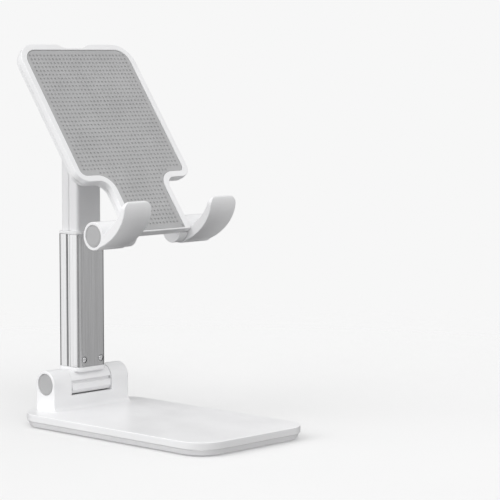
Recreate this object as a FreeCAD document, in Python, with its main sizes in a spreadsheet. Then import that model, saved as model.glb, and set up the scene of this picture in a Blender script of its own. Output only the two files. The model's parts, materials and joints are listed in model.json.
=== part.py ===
import FreeCAD, Part
import math
import os
import re

import Sketcher

# A folding phone stand, in millimetres. The stand rests on z = 0 with the base's centre over the origin,
# +x to the right of somebody facing the pad, +y to the back and +z up.

Vector = FreeCAD.Vector
Placement = FreeCAD.Placement
Rotation = FreeCAD.Rotation

# Driving dimensions: the alias in the spreadsheet, the value and what it measures.
DIMENSIONS = [
    ("base_width", 61.7, "base, side to side"),
    ("base_length", 107.4, "base, front to back"),
    ("base_corner_radius", 11.3, "base corners seen from above"),
    ("feet_height", 0.6, "feet stand this far below the base"),
    ("band_height", 2.35, "sloping lower band of the base"),
    ("band_inset", 1.6, "the band's inward slope"),
    ("rim_height", 2.85, "upright rim of the base"),
    ("shell_wall", 1.6, "wall of the base shell"),
    ("cover_thickness", 1.2, "bottom cover"),
    ("weight_thickness", 2.1, "steel weight"),
    ("foot_radius", 5.0, "soft feet"),
    ("foot_inset", 10.0, "foot centre from the base's sides"),
    ("foot_recess", 0.3, "how deep the feet sit in the cover"),
    ("screw_spacing_x", 42.0, "cover screws, side to side"),
    ("screw_spacing_y", 66.0, "cover screws, front to back"),
    ("boss_radius", 3.0, "screw bosses of the base and the plate"),
    ("thread_radius", 0.8, "screw threads in plastic"),
    ("thread_depth", 3.2, "cover screws in their bosses"),
    ("cover_head_radius", 2.0, "heads of the cover screws"),
    ("cover_head_recess", 0.7, "recesses for the cover screws' heads"),
    ("hinge_y", 46.75, "base hinge axis behind the base's centre"),
    ("hinge_drop", 10.75, "base hinge axis above the base's top"),
    ("ear_span", 41.5, "over both ears"),
    ("ear_radius", 5.63, "rounded top of the ears"),
    ("ear_gap", 22.3, "between the ears"),
    ("sill_drop", 4.3, "front sill of the gap, below the hinge axis"),
    ("swing_radius", 6.4, "room for the knuckle between the ears"),
    ("cap_radius", 4.4, "grey caps in the ears"),
    ("cap_thickness", 1.2, "grey caps"),
    ("pin_radius", 1.5, "base hinge pin"),
    ("press_gap", 0.02, "radial clearance of a pin that is held"),
    ("head_gap", 0.3, "radial room round pin heads and nuts"),
    ("cap_gap", 0.05, "room round the grey caps"),
    ("head_recess", 4.0, "recess for the hinge pin's head and nut"),
    ("washer_radius", 4.4, "washers beside the knuckle"),
    ("washer_thickness", 0.4, "washers beside knuckle and lug"),
    ("pin_head_radius", 2.8, "head and nut of the base hinge pin"),
    ("running_gap", 0.05, "radial clearance of a pin in a moving bore"),
    ("knuckle_radius", 5.45, "knuckle between the ears"),
    ("knuckle_length", 21.2, "knuckle, side to side"),
    ("plinth_width", 14.8, "plinth under the sleeve"),
    ("plinth_depth", 12.0, "plinth under the sleeve"),
    ("plinth_top", 6.15, "sleeve's lower end above the hinge axis"),
    ("plug_height", 6.0, "plug inside the sleeve"),
    ("sleeve_width", 15.6, "metal sleeve"),
    ("sleeve_depth", 12.9, "metal sleeve"),
    ("sleeve_corner", 2.0, "metal sleeve's corner radius"),
    ("sleeve_wall", 0.7, "metal sleeve"),
    ("sleeve_length", 55.0, "metal sleeve"),
    ("sleeve_shift", 0.25, "sleeve's centre behind the hinge axis"),
    ("fit_gap", 0.06, "gap between fixed pieces that push together"),
    ("sleeve_screw_height", 3.05, "small screws above the sleeve's end"),
    ("sleeve_screw_spacing", 9.2, "small screws, side to side"),
    ("sleeve_screw_radius", 1.25, "small screw heads"),
    ("collar_height", 1.2, "collar above the sleeve"),
    ("collar_skirt", 6.0, "collar inside the sleeve"),
    ("window_width", 6.6, "window in the sleeve's back for the collar's tab"),
    ("window_height", 1.4, "window in the sleeve's back for the collar's tab"),
    ("window_drop", 2.6, "window's middle below the sleeve's top"),
    ("tab_gap", 0.15, "room round the collar's tab, and its drop below the sleeve's surface"),
    ("post_width", 13.2, "sliding post"),
    ("post_depth", 10.4, "sliding post"),
    ("post_corner", 1.4, "sliding post's corner radius"),
    ("post_shift", 0.3, "post's centre behind the hinge axis"),
    ("post_overlap", 10.3, "post inside the sleeve when fully raised"),
    ("post_wall", 1.4, "sliding post"),
    ("post_solid", 12.0, "solid top end of the sliding post"),
    ("slide_gap", 0.2, "between post and collar"),
    ("strip_width", 9.0, "friction strip on the post's front"),
    ("strip_thickness", 0.5, "friction strip on the post's front"),
    ("strip_height", 3.5, "friction strip on the post's front"),
    ("groove_width", 1.9, "lengthwise groove in the narrow sides of sleeve and post"),
    ("groove_depth", 0.3, "lengthwise groove in the narrow sides of sleeve and post"),
    ("pivot_height", 113.05, "tilt axis above the base hinge axis, post raised"),
    ("pivot_shift", 0.4, "tilt axis behind the base hinge axis"),
    ("barrel_radius", 5.35, "cross barrel"),
    ("barrel_length", 35.0, "cross barrel"),
    ("lug_width", 15.2, "the plate's lug inside the cross barrel"),
    ("lug_radius", 4.15, "the plate's lug"),
    ("lug_room", 16.2, "slot for the lug"),
    ("lug_room_radius", 4.5, "slot for the lug"),
    ("tilt_pin_radius", 1.2, "tilt pin"),
    ("tilt_head_radius", 2.4, "head and nut of the tilt pin"),
    ("tilt_recess", 4.5, "recess for the tilt pin's head and nut"),
    ("tilt_cap_radius", 4.3, "end discs of the cross barrel"),
    ("tilt_cap_thickness", 1.0, "end discs of the cross barrel"),
    ("tilt_washer_radius", 3.8, "washers beside the lug"),
    ("web_thickness", 4.4, "web that joins the lug to the plate"),
    ("lean", 35.6, "plate leans back, degrees"),
    ("pad_face", 11.07, "pad's front above the tilt axis"),
    ("frame_proud", 0.25, "frame stands above the pad"),
    ("frame_depth", 2.45, "front frame"),
    ("shell_back", 6.0, "plate's back above the tilt axis"),
    ("shell_step", 0.4, "back shell inside the frame's outline"),
    ("shell_chamfer", 1.1, "back shell's sloping edge"),
    ("plate_width", 61.92, "plate, side to side"),
    ("plate_top", 23.6, "plate's top above the tilt axis"),
    ("plate_shoulder", 42.6, "shoulders below the tilt axis"),
    ("plate_bottom", 67.2, "plate's lower end below the tilt axis"),
    ("neck_width", 32.0, "plate's neck between the hooks"),
    ("plate_corner", 9.0, "plate's top corners"),
    ("shoulder_corner", 5.5, "plate's lower corners"),
    ("neck_corner", 4.5, "where the neck meets the shoulders"),
    ("frame_border", 2.75, "white frame round the pad"),
    ("notch_width", 17.0, "finger notch in the top edge"),
    ("notch_depth", 1.7, "finger notch in the top edge"),
    ("notch_slope", 3.0, "sloping ends of the finger notch"),
    ("pad_thickness", 1.2, "soft pad"),
    ("pad_overhang", 0.7, "pad past the plate's lower end"),
    ("hollow_inset", 6.0, "hollow in the back shell, from the plate's edge"),
    ("hollow_depth", 1.3, "hollow in the back shell"),
    ("hollow_rise", 14.0, "hollow in the back shell, above the plate's lower end"),
    ("plate_boss_depth", 1.5, "plate screw bosses behind the frame"),
    ("plate_shaft_radius", 0.9, "plate screw holes in the frame"),
    ("plate_head_radius", 2.0, "plate screw recesses in the frame"),
    ("plate_head_recess", 0.6, "plate screw recesses in the frame"),
    ("plate_screw_length", 2.0, "plate screws below their heads"),
    ("plate_screw_x", 21.0, "plate screws from the middle"),
    ("plate_screw_high", 12.0, "upper plate screws above the tilt axis"),
    ("plate_screw_low", 30.0, "lower plate screws below the tilt axis"),
    ("hook_drop", 63.8, "hook axis below the tilt axis"),
    ("hook_forward", 4.96, "hook axis above the tilt axis, towards the pad"),
    ("hook_radius", 5.6, "hook barrels"),
    ("hook_inner", 16.35, "hooks' inner faces from the middle"),
    ("hook_outer", 30.95, "hooks' outer faces from the middle"),
    ("hook_floor", 2.2, "hook's floor below its axis"),
    ("hook_thickness", 4.45, "hook's floor"),
    ("hook_reach", 22.4, "hook's lip in front of its axis"),
    ("hook_lip_rise", 2.0, "lip above the hook's axis"),
    ("hook_lip_corner", 3.5, "rounded corners of the lip"),
    ("collar_inner", 11.8, "plate's hook collars from the middle"),
    ("collar_outer", 16.1, "plate's hook collars from the middle"),
    ("hook_collar_radius", 5.2, "plate's hook collars"),
    ("hook_pin_radius", 1.2, "shoulder pins of the hooks"),
    ("hook_head_radius", 2.5, "heads of the shoulder pins"),
    ("hook_head_length", 1.8, "heads of the shoulder pins"),
    ("hook_washer_thickness", 0.6, "washers under the shoulder pins' heads"),
    ("shoulder_depth", 4.45, "shoulder the pin bears on, from the hook's outer face"),
    ("pin_end", 0.5, "shoulder pin short of the collar's inner face"),
]

doc = FreeCAD.newDocument("PhoneStand")
sheet = doc.addObject("Spreadsheet::Sheet", "Dimensions")
for row, (alias, size, note) in enumerate(DIMENSIONS, start=1):
    sheet.set(f"A{row}", note)
    sheet.set(f"B{row}", str(size))
    sheet.setAlias(f"B{row}", alias)
doc.recompute()

ALIASES = {alias for alias, _, _ in DIMENSIONS}
NODES = []


def in_sheet(expression):
    """The expression with every dimension's name looked up in the spreadsheet."""
    def look_up(found):
        word = found.group()
        return "Dimensions." + word if word in ALIASES else word
    return re.sub(r"[a-z_]+", look_up, str(expression))


def number(expression):
    """The expression's present value."""
    return float(sheet.evalExpression(in_sheet(expression)))


def bind(item, setting, expression):
    item.setExpression(setting, in_sheet(expression))


def minus(expression):
    return f"-({expression})"


# The heights that several pieces share, worked out from the driving dimensions.
BASE_TOP = "(feet_height + band_height + rim_height)"
HINGE_Z = f"({BASE_TOP} + hinge_drop)"
SLEEVE_BOTTOM = f"({HINGE_Z} + plinth_top)"
SLEEVE_TOP = f"({SLEEVE_BOTTOM} + sleeve_length)"
SLEEVE_Y = "(hinge_y + sleeve_shift)"
POST_Y = "(hinge_y + post_shift)"
POST_BOTTOM = f"({SLEEVE_TOP} - post_overlap)"
PIVOT_Y = "(hinge_y + pivot_shift)"
PIVOT_Z = f"({HINGE_Z} + pivot_height)"
FRAME_FRONT = "(pad_face + frame_proud)"
FRAME_BACK = f"({FRAME_FRONT} - frame_depth)"


def put_on_plate(item):
    """Moves a piece drawn about the tilt axis, with the plate upright, to the leaning plate."""
    item.Placement = Placement(Vector(0, 0, 0), Rotation(Vector(-1, 0, 0), number("lean")))
    bind(item, "Placement.Base.y", PIVOT_Y)
    bind(item, "Placement.Base.z", PIVOT_Z)
    bind(item, "Placement.Rotation.Angle", "lean")


def node(item, name, on_plate=False):
    item.Label = name
    if on_plate:
        put_on_plate(item)
    NODES.append(item)
    return item


# Part primitives and booleans


def rod(name, radius, x_from, x_to, y="0", z="0"):
    """A cylinder along x."""
    item = doc.addObject("Part::Cylinder", name)
    item.Placement = Placement(Vector(0, 0, 0), Rotation(Vector(0, 1, 0), 90))
    bind(item, "Radius", radius)
    bind(item, "Height", f"({x_to}) - ({x_from})")
    bind(item, "Placement.Base.x", x_from)
    bind(item, "Placement.Base.y", y)
    bind(item, "Placement.Base.z", z)
    return item


def post_rod(name, radius, z_from, z_to, x, y):
    """A cylinder along z."""
    item = doc.addObject("Part::Cylinder", name)
    bind(item, "Radius", radius)
    bind(item, "Height", f"({z_to}) - ({z_from})")
    bind(item, "Placement.Base.x", x)
    bind(item, "Placement.Base.y", y)
    bind(item, "Placement.Base.z", z_from)
    return item


def deep_rod(name, radius, y_from, y_to, x, z):
    """A cylinder along y."""
    item = doc.addObject("Part::Cylinder", name)
    item.Placement = Placement(Vector(0, 0, 0), Rotation(Vector(-1, 0, 0), 90))
    bind(item, "Radius", radius)
    bind(item, "Height", f"({y_to}) - ({y_from})")
    bind(item, "Placement.Base.x", x)
    bind(item, "Placement.Base.y", y_from)
    bind(item, "Placement.Base.z", z)
    return item


def fuse(name, pieces):
    item = doc.addObject("Part::MultiFuse", name)
    item.Shapes = pieces
    return item


def cut(name, whole, tool):
    item = doc.addObject("Part::Cut", name)
    item.Base = whole
    item.Tool = tool
    return item


def group(name, pieces):
    """Separate solids that share one node."""
    item = doc.addObject("Part::Compound", name)
    item.Links = pieces
    return item


def ring(name, outer, inner, x_from, x_to, y="0", z="0"):
    return cut(
        name,
        rod(name + "_disc", outer, x_from, x_to, y, z),
        rod(name + "_hole", inner, x_from, x_to, y, z),
    )


def hex_nut(name, across_radius, bore, x_from, x_to, y="0", z="0"):
    """A six-sided nut along x."""
    prism = doc.addObject("Part::Prism", name + "_prism")
    prism.Polygon = 6
    prism.Placement = Placement(Vector(0, 0, 0), Rotation(Vector(0, 1, 0), 90))
    bind(prism, "Circumradius", across_radius)
    bind(prism, "Height", f"({x_to}) - ({x_from})")
    bind(prism, "Placement.Base.x", x_from)
    bind(prism, "Placement.Base.y", y)
    bind(prism, "Placement.Base.z", z)
    return cut(name, prism, rod(name + "_bore", bore, x_from, x_to, y, z))


# Bodies made from sketches


def new_body(name):
    return doc.addObject("PartDesign::Body", name + "_body")


def sketch_on(body, plane, offset="0"):
    sketch = body.newObject("Sketcher::SketchObject", body.Name + "_sketch")
    origin_plane = next(f for f in body.Origin.OriginFeatures if f.Role == plane)
    sketch.AttachmentSupport = (origin_plane, [""])
    sketch.MapMode = "FlatFace"
    bind(sketch, "AttachmentOffset.Base.z", offset)
    return sketch


def pin_point(sketch, line, end, across, up):
    """Ties one end of a sketch element to the sketch's origin."""
    for kind, expression in (("DistanceX", across), ("DistanceY", up)):
        made = sketch.addConstraint(Sketcher.Constraint(kind, -1, 1, line, end, number(expression)))
        bind(sketch, f"Constraints[{made}]", expression)


def polygon(sketch, corners):
    spots = [Vector(number(across), number(up), 0) for across, up in corners]
    first = sketch.GeometryCount
    count = len(corners)
    for i in range(count):
        sketch.addGeometry(Part.LineSegment(spots[i], spots[(i + 1) % count]), False)
    for i in range(count):
        sketch.addConstraint(
            Sketcher.Constraint("Coincident", first + i, 2, first + (i + 1) % count, 1)
        )
    for i, (across, up) in enumerate(corners):
        pin_point(sketch, first + i, 1, across, up)


def rectangle(sketch, width, height, across="0", up="0"):
    left = f"{across} - ({width}) / 2"
    right = f"{across} + ({width}) / 2"
    low = f"{up} - ({height}) / 2"
    high = f"{up} + ({height}) / 2"
    polygon(sketch, [(left, low), (right, low), (right, high), (left, high)])


def circle(sketch, radius, across="0", up="0"):
    spot = Vector(number(across), number(up), 0)
    made = sketch.addGeometry(Part.Circle(spot, Vector(0, 0, 1), number(radius)), False)
    pin_point(sketch, made, 3, across, up)
    size = sketch.addConstraint(Sketcher.Constraint("Radius", made, number(radius)))
    bind(sketch, f"Constraints[{size}]", radius)


def rounded_rectangle(sketch, width, height, corner, across="0", up="0"):
    """Four corner arcs, each centre tied to the origin, joined by tangent lines."""
    first = sketch.GeometryCount
    reach = number(corner)
    ends = []
    for quarter, (side, rise) in enumerate(((1, 1), (-1, 1), (-1, -1), (1, -1))):
        centre_x = f"{across} + {side} * (({width}) / 2 - ({corner}))"
        centre_y = f"{up} + {rise} * (({height}) / 2 - ({corner}))"
        centre = Vector(number(centre_x), number(centre_y), 0)
        start = quarter * math.pi / 2
        arc = Part.ArcOfCircle(Part.Circle(centre, Vector(0, 0, 1), reach), start, start + math.pi / 2)
        made = sketch.addGeometry(arc, False)
        pin_point(sketch, made, 3, centre_x, centre_y)
        size = sketch.addConstraint(Sketcher.Constraint("Radius", made, reach))
        bind(sketch, f"Constraints[{size}]", corner)
        ends.append((arc.StartPoint, arc.EndPoint))
    for quarter in range(4):
        following = (quarter + 1) % 4
        line = sketch.addGeometry(Part.LineSegment(ends[quarter][1], ends[following][0]), False)
        sketch.addConstraint(Sketcher.Constraint("Tangent", first + quarter, 2, line, 1))
        sketch.addConstraint(Sketcher.Constraint("Tangent", line, 2, first + following, 1))


def tip_volume(body):
    return body.Shape.Volume if body.Tip else 0.0


def pad(body, sketch, length, centred=False, backwards=False):
    feature = body.newObject("PartDesign::Pad", body.Name + "_pad")
    feature.Profile = sketch
    bind(feature, "Length", length)
    feature.Midplane = centred
    feature.Reversed = backwards
    sketch.Visibility = False
    doc.recompute()
    return feature


def pocket(body, sketch, length, centred=False, forwards=False):
    """Cuts against the sketch's normal, or along it when forwards. It must take something away."""
    before = tip_volume(body)
    feature = body.newObject("PartDesign::Pocket", body.Name + "_pocket")
    feature.Profile = sketch
    bind(feature, "Length", length)
    feature.Midplane = centred
    feature.Reversed = forwards
    doc.recompute()
    if tip_volume(body) > before - 0.01:
        raise RuntimeError(f"{feature.Name} cuts nothing")
    return feature


def bore(body, radius, x_from, x_to, y="0", z="0"):
    """A round hole along x."""
    sketch = sketch_on(body, "YZ_Plane", x_from)
    circle(sketch, radius, y, z)
    return pocket(body, sketch, f"({x_to}) - ({x_from})", forwards=True)


def edges_near(shape, spots, reach=0.05):
    """Names of the edges whose middle is at one of the spots. None in a spot means any value."""
    found = []
    for count, edge in enumerate(shape.Edges, start=1):
        middle = edge.valueAt((edge.FirstParameter + edge.LastParameter) / 2)
        for spot in spots:
            misses = [abs(a - b) for a, b in zip(middle, spot) if b is not None]
            if max(misses) < reach:
                found.append(f"Edge{count}")
                break
    return found


def soften(body, spots, radius):
    """Fillets the edges whose middles are at the spots."""
    base = body.Tip
    names = edges_near(base.Shape, spots)
    if len(names) < len(spots):
        raise RuntimeError(f"{body.Name}: {len(names)} edges found for {len(spots)} spots")
    feature = body.newObject("PartDesign::Fillet", body.Name + "_fillet")
    feature.Base = (base, names)
    bind(feature, "Radius", radius)
    doc.recompute()
    return feature


def rounded_bar(name, width, depth, corner, z_from, height, y):
    """A body that stands on z_from with a rounded rectangular section."""
    body = new_body(name)
    sketch = sketch_on(body, "XY_Plane", z_from)
    rounded_rectangle(sketch, width, depth, corner, "0", y)
    pad(body, sketch, height)
    return body


def rounded_hollow(body, width, depth, corner, z_from, height, y):
    """Takes a rounded rectangular space out of a body, from z_from up."""
    sketch = sketch_on(body, "XY_Plane", z_from)
    rounded_rectangle(sketch, width, depth, corner, "0", y)
    pocket(body, sketch, height, forwards=True)


def side_grooves(body, width, z_from, height, y):
    """A shallow groove along the middle of both narrow sides."""
    sketch = sketch_on(body, "XY_Plane", z_from)
    for side in (-1, 1):
        rectangle(sketch, "2 * groove_depth", "groove_width", f"{side} * ({width}) / 2", y)
    pocket(body, sketch, height, forwards=True)


def four_spots(spacing_x, spacing_y):
    """Centres of a four-hole pattern, as expressions."""
    return [
        (f"{side} * ({spacing_x}) / 2", f"{end} * ({spacing_y}) / 2")
        for side in (-1, 1)
        for end in (-1, 1)
    ]


# The base


def chamfer_lower_band(body):
    """The band under the rim slopes in by band_inset over band_height."""
    base = body.Tip
    low = number("feet_height")
    outline = [
        f"Edge{count}"
        for count, edge in enumerate(base.Shape.Edges, start=1)
        if abs(edge.BoundBox.ZMax - low) < 0.001
    ]
    feature = body.newObject("PartDesign::Chamfer", body.Name + "_band")
    feature.Base = (base, outline)
    feature.ChamferType = "Two distances"
    bind(feature, "Size", "band_height")
    bind(feature, "Size2", "band_inset")
    doc.recompute()
    faces = [f for f in feature.Shape.Faces if abs(f.BoundBox.ZMax - low) < 0.001]
    wanted = number("base_width - 2 * band_inset")
    feature.FlipDirection = abs(faces[0].BoundBox.XLength - wanted) > 0.01
    doc.recompute()


def make_base_shell():
    height = "(band_height + rim_height)"
    body = rounded_bar(
        "base_shell", "base_width", "base_length", "base_corner_radius", "feet_height", height, "0"
    )
    chamfer_lower_band(body)
    block = sketch_on(body, "YZ_Plane")
    low = f"({BASE_TOP} - 0.5)"
    front = "(hinge_y - ear_radius)"
    back = "(hinge_y + ear_radius)"
    polygon(block, [(front, low), (back, low), (back, HINGE_Z), (front, HINGE_Z)])
    pad(body, block, "ear_span", centred=True)
    ears = sketch_on(body, "YZ_Plane")
    circle(ears, "ear_radius", "hinge_y", HINGE_Z)
    pad(body, ears, "ear_span", centred=True)
    gap = sketch_on(body, "YZ_Plane")
    sill = f"({HINGE_Z} - sill_drop)"
    high = f"({HINGE_Z} + 2 * ear_radius)"
    before = f"({front} - 1)"
    behind = f"({back} + 1)"
    polygon(gap, [(before, sill), (behind, sill), (behind, high), (before, high)])
    pocket(body, gap, "ear_gap", centred=True)
    swing = sketch_on(body, "YZ_Plane")
    circle(swing, "swing_radius", "hinge_y", HINGE_Z)
    pocket(body, swing, "ear_gap", centred=True)
    outside = "(ear_span / 2)"
    bore(body, "pin_radius + press_gap", minus(outside), outside, "hinge_y", HINGE_Z)
    for radius, depth in (
        ("pin_head_radius + head_gap", "head_recess"),
        ("cap_radius + cap_gap", "(cap_thickness + cap_gap)"),
    ):
        bore(body, radius, minus(outside), f"{depth} - {outside}", "hinge_y", HINGE_Z)
        bore(body, radius, f"{outside} - {depth}", outside, "hinge_y", HINGE_Z)
    inset = "(band_inset + shell_wall)"
    rounded_hollow(
        body,
        f"base_width - 2 * {inset}",
        f"base_length - 2 * {inset}",
        f"base_corner_radius - {inset}",
        "feet_height",
        f"{height} - shell_wall",
        "0",
    )
    bosses = sketch_on(body, "XY_Plane", "feet_height + cover_thickness + 0.1")
    for x, y in four_spots("screw_spacing_x", "screw_spacing_y"):
        circle(bosses, "boss_radius", x, y)
    pad(body, bosses, f"{height} - cover_thickness - shell_wall")
    threads = sketch_on(body, "XY_Plane", "feet_height + cover_thickness")
    for x, y in four_spots("screw_spacing_x", "screw_spacing_y"):
        circle(threads, "thread_radius", x, y)
    pocket(body, threads, "thread_depth", forwards=True)
    node(body, "base_shell")


def make_base_inside():
    inset = "(band_inset + shell_wall + 0.1)"
    width = f"(base_width - 2 * {inset})"
    length = f"(base_length - 2 * {inset})"
    corner = f"base_corner_radius - {inset}"
    cover = rounded_bar("base_cover", width, length, corner, "feet_height", "cover_thickness", "0")
    shafts = sketch_on(cover, "XY_Plane", "feet_height")
    heads = sketch_on(cover, "XY_Plane", "feet_height")
    for x, y in four_spots("screw_spacing_x", "screw_spacing_y"):
        circle(shafts, "thread_radius + 0.2", x, y)
        circle(heads, "cover_head_radius + 0.1", x, y)
    pocket(cover, shafts, "cover_thickness", forwards=True)
    pocket(cover, heads, "cover_head_recess", forwards=True)
    seats = sketch_on(cover, "XY_Plane", "feet_height")
    foot_spots = four_spots("(base_width - 2 * foot_inset)", "(base_length - 2 * foot_inset)")
    for x, y in foot_spots:
        circle(seats, "foot_radius + 0.05", x, y)
    pocket(cover, seats, "foot_recess", forwards=True)
    node(cover, "base_cover")
    weight = rounded_bar(
        "base_weight",
        f"{width} - 1",
        f"{length} - 1",
        corner,
        "feet_height + cover_thickness + 0.1",
        "weight_thickness",
        "0",
    )
    clear = sketch_on(weight, "XY_Plane", "feet_height")
    for x, y in four_spots("screw_spacing_x", "screw_spacing_y"):
        circle(clear, "boss_radius + 0.4", x, y)
    pocket(weight, clear, "2 * weight_thickness + cover_thickness", forwards=True)
    node(weight, "base_weight")
    feet = [
        post_rod(f"foot_{i}", "foot_radius", "0", "feet_height + foot_recess", x, y)
        for i, (x, y) in enumerate(foot_spots)
    ]
    node(group("base_feet_group", feet), "base_feet")
    screws = []
    for i, (x, y) in enumerate(four_spots("screw_spacing_x", "screw_spacing_y")):
        low = "feet_height + 0.1"
        seat = "feet_height + cover_head_recess - 0.05"
        tip = "feet_height + cover_thickness + thread_depth - 0.2"
        head = post_rod(f"cover_screw_head_{i}", "cover_head_radius", low, seat, x, y)
        shank = post_rod(f"cover_screw_shank_{i}", "thread_radius - press_gap", low, tip, x, y)
        screws.append(fuse(f"cover_screw_{i}", [head, shank]))
    node(group("base_screws_group", screws), "base_screws")


def make_base_hinge():
    at = {"y": "hinge_y", "z": HINGE_Z}
    outside = "(ear_span / 2)"
    end = "(cap_thickness + 0.4)"
    shaft = rod("hinge_shaft", "pin_radius", f"head_recess - {outside}", f"{outside} - {end}", **at)
    head = rod("hinge_head", "pin_head_radius", f"{end} - {outside}", f"head_recess - {outside}", **at)
    node(fuse("hinge_pin", [shaft, head]), "base_hinge_pin")
    nut_from = f"{outside} - head_recess + press_gap"
    nut_to = f"{outside} - {end} - 0.2"
    nut = hex_nut("hinge_nut", "pin_head_radius", "pin_radius + press_gap", nut_from, nut_to, **at)
    node(nut, "base_hinge_nut")
    for side, sign in (("left", "-1"), ("right", "1")):
        inner = f"{sign} * {outside} - ({sign} * cap_thickness + cap_thickness) / 2"
        cap = rod(f"cap_{side}", "cap_radius", inner, f"{inner} + cap_thickness", **at)
        node(cap, f"base_cap_{side}")
    gap = "(ear_gap / 2)"
    hole = "pin_radius + running_gap"
    washers = [
        ring(f"hinge_washer_{i}", "washer_radius", hole, start, f"{start} + washer_thickness", **at)
        for i, start in enumerate((f"0.1 - {gap}", f"{gap} - washer_thickness - 0.1"))
    ]
    node(group("hinge_washer_group", washers), "base_hinge_washers")


# The arm: knuckle, sleeve and collar


def make_lower_knuckle():
    body = new_body("lower_knuckle")
    barrel = sketch_on(body, "YZ_Plane")
    circle(barrel, "knuckle_radius", "hinge_y", HINGE_Z)
    pad(body, barrel, "knuckle_length", centred=True)
    stop = sketch_on(body, "YZ_Plane")
    inside = "0.55 * knuckle_radius"
    front = "1.01 * knuckle_radius"
    corners = [
        (inside, "0.4"),
        (inside, "(0.1 - sill_drop)"),
        ("(knuckle_radius - 0.95)", "(0.25 - sill_drop)"),
        (front, "-0.6 * sill_drop"),
        (front, "0.4"),
    ]
    polygon(stop, [(f"hinge_y - {y}", f"{HINGE_Z} + {z}") for y, z in corners])
    pad(body, stop, "knuckle_length", centred=True)
    plinth = sketch_on(body, "XY_Plane", HINGE_Z)
    rectangle(plinth, "plinth_width", "plinth_depth", "0", SLEEVE_Y)
    pad(body, plinth, "plinth_top")
    plug = sketch_on(body, "XY_Plane", SLEEVE_BOTTOM)
    inner_width = "(sleeve_width - 2 * sleeve_wall - 2 * fit_gap)"
    inner_depth = "(sleeve_depth - 2 * sleeve_wall - 2 * fit_gap)"
    rounded_rectangle(plug, inner_width, inner_depth, "sleeve_corner - sleeve_wall", "0", SLEEVE_Y)
    pad(body, plug, "plug_height")
    side = "knuckle_length / 2"
    bore(body, "pin_radius + running_gap", minus(side), side, "hinge_y", HINGE_Z)
    holes = sketch_on(body, "XZ_Plane", minus(SLEEVE_Y))
    for side in (-1, 1):
        x = f"{side} * sleeve_screw_spacing / 2"
        circle(holes, "thread_radius + 0.05", x, f"{SLEEVE_BOTTOM} + sleeve_screw_height")
    pocket(body, holes, "2 * sleeve_depth", centred=True)
    node(body, "lower_knuckle")


def make_sleeve():
    body = rounded_bar(
        "outer_tube",
        "sleeve_width",
        "sleeve_depth",
        "sleeve_corner",
        SLEEVE_BOTTOM,
        "sleeve_length",
        SLEEVE_Y,
    )
    rounded_hollow(
        body,
        "sleeve_width - 2 * sleeve_wall",
        "sleeve_depth - 2 * sleeve_wall",
        "sleeve_corner - sleeve_wall",
        SLEEVE_BOTTOM,
        "sleeve_length",
        SLEEVE_Y,
    )
    side_grooves(body, "sleeve_width", SLEEVE_BOTTOM, "sleeve_length", SLEEVE_Y)
    holes = sketch_on(body, "XZ_Plane", minus(SLEEVE_Y))
    for side in (-1, 1):
        circle(
            holes,
            "sleeve_screw_radius + 0.1",
            f"{side} * sleeve_screw_spacing / 2",
            f"{SLEEVE_BOTTOM} + sleeve_screw_height",
        )
    pocket(body, holes, "2 * sleeve_depth", centred=True)
    window = sketch_on(body, "XZ_Plane", minus(SLEEVE_Y))
    rectangle(window, "window_width", "window_height", "0", f"{SLEEVE_TOP} - window_drop")
    pocket(body, window, "sleeve_depth")
    node(body, "outer_tube")


def make_sleeve_screws():
    screws = []
    face = "(sleeve_depth / 2 - tab_gap)"
    step = "(sleeve_depth / 2 - sleeve_wall - fit_gap)"
    height = f"{SLEEVE_BOTTOM} + sleeve_screw_height"
    for side in (-1, 1):
        x = f"{side} * sleeve_screw_spacing / 2"
        for name, start, end, tip in (
            ("front", f"{SLEEVE_Y} - {face}", f"{SLEEVE_Y} - {step}", f"{SLEEVE_Y} - 1"),
            ("back", f"{SLEEVE_Y} + {step}", f"{SLEEVE_Y} + {face}", f"{SLEEVE_Y} + 1"),
        ):
            label = f"sleeve_screw_{name}_{side + 1}"
            head = deep_rod(label + "_head", "sleeve_screw_radius", start, end, x, height)
            shank_ends = (end, tip) if name == "front" else (tip, start)
            shank = deep_rod(label + "_shank", "thread_radius", *shank_ends, x, height)
            screws.append(fuse(label, [head, shank]))
    node(group("sleeve_screw_group", screws), "knuckle_screws")


def make_collar():
    body = rounded_bar(
        "tube_collar",
        "sleeve_width - 0.3",
        "sleeve_depth - 0.3",
        "sleeve_corner - 0.15",
        SLEEVE_TOP,
        "collar_height",
        SLEEVE_Y,
    )
    skirt = sketch_on(body, "XY_Plane", f"{SLEEVE_TOP} - collar_skirt")
    skirt_width = "(sleeve_width - 2 * sleeve_wall - 2 * fit_gap)"
    skirt_depth = "(sleeve_depth - 2 * sleeve_wall - 2 * fit_gap)"
    rounded_rectangle(skirt, skirt_width, skirt_depth, "sleeve_corner - sleeve_wall", "0", SLEEVE_Y)
    pad(body, skirt, "collar_skirt")
    tab_height = "(window_height - 2 * tab_gap)"
    tab = sketch_on(body, "XY_Plane", f"{SLEEVE_TOP} - window_drop - {tab_height} / 2")
    tab_depth = "(2 * sleeve_wall)"
    tab_y = f"{SLEEVE_Y} + sleeve_depth / 2 - tab_gap - {tab_depth} / 2"
    rectangle(tab, "window_width - 2 * tab_gap", tab_depth, "0", tab_y)
    pad(body, tab, tab_height)
    rounded_hollow(
        body,
        "post_width + 2 * slide_gap",
        "post_depth + 2 * slide_gap",
        "post_corner + slide_gap",
        f"{SLEEVE_TOP} - collar_skirt",
        "collar_skirt + collar_height",
        POST_Y,
    )
    node(body, "tube_collar")


# The post with its cross barrel


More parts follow.
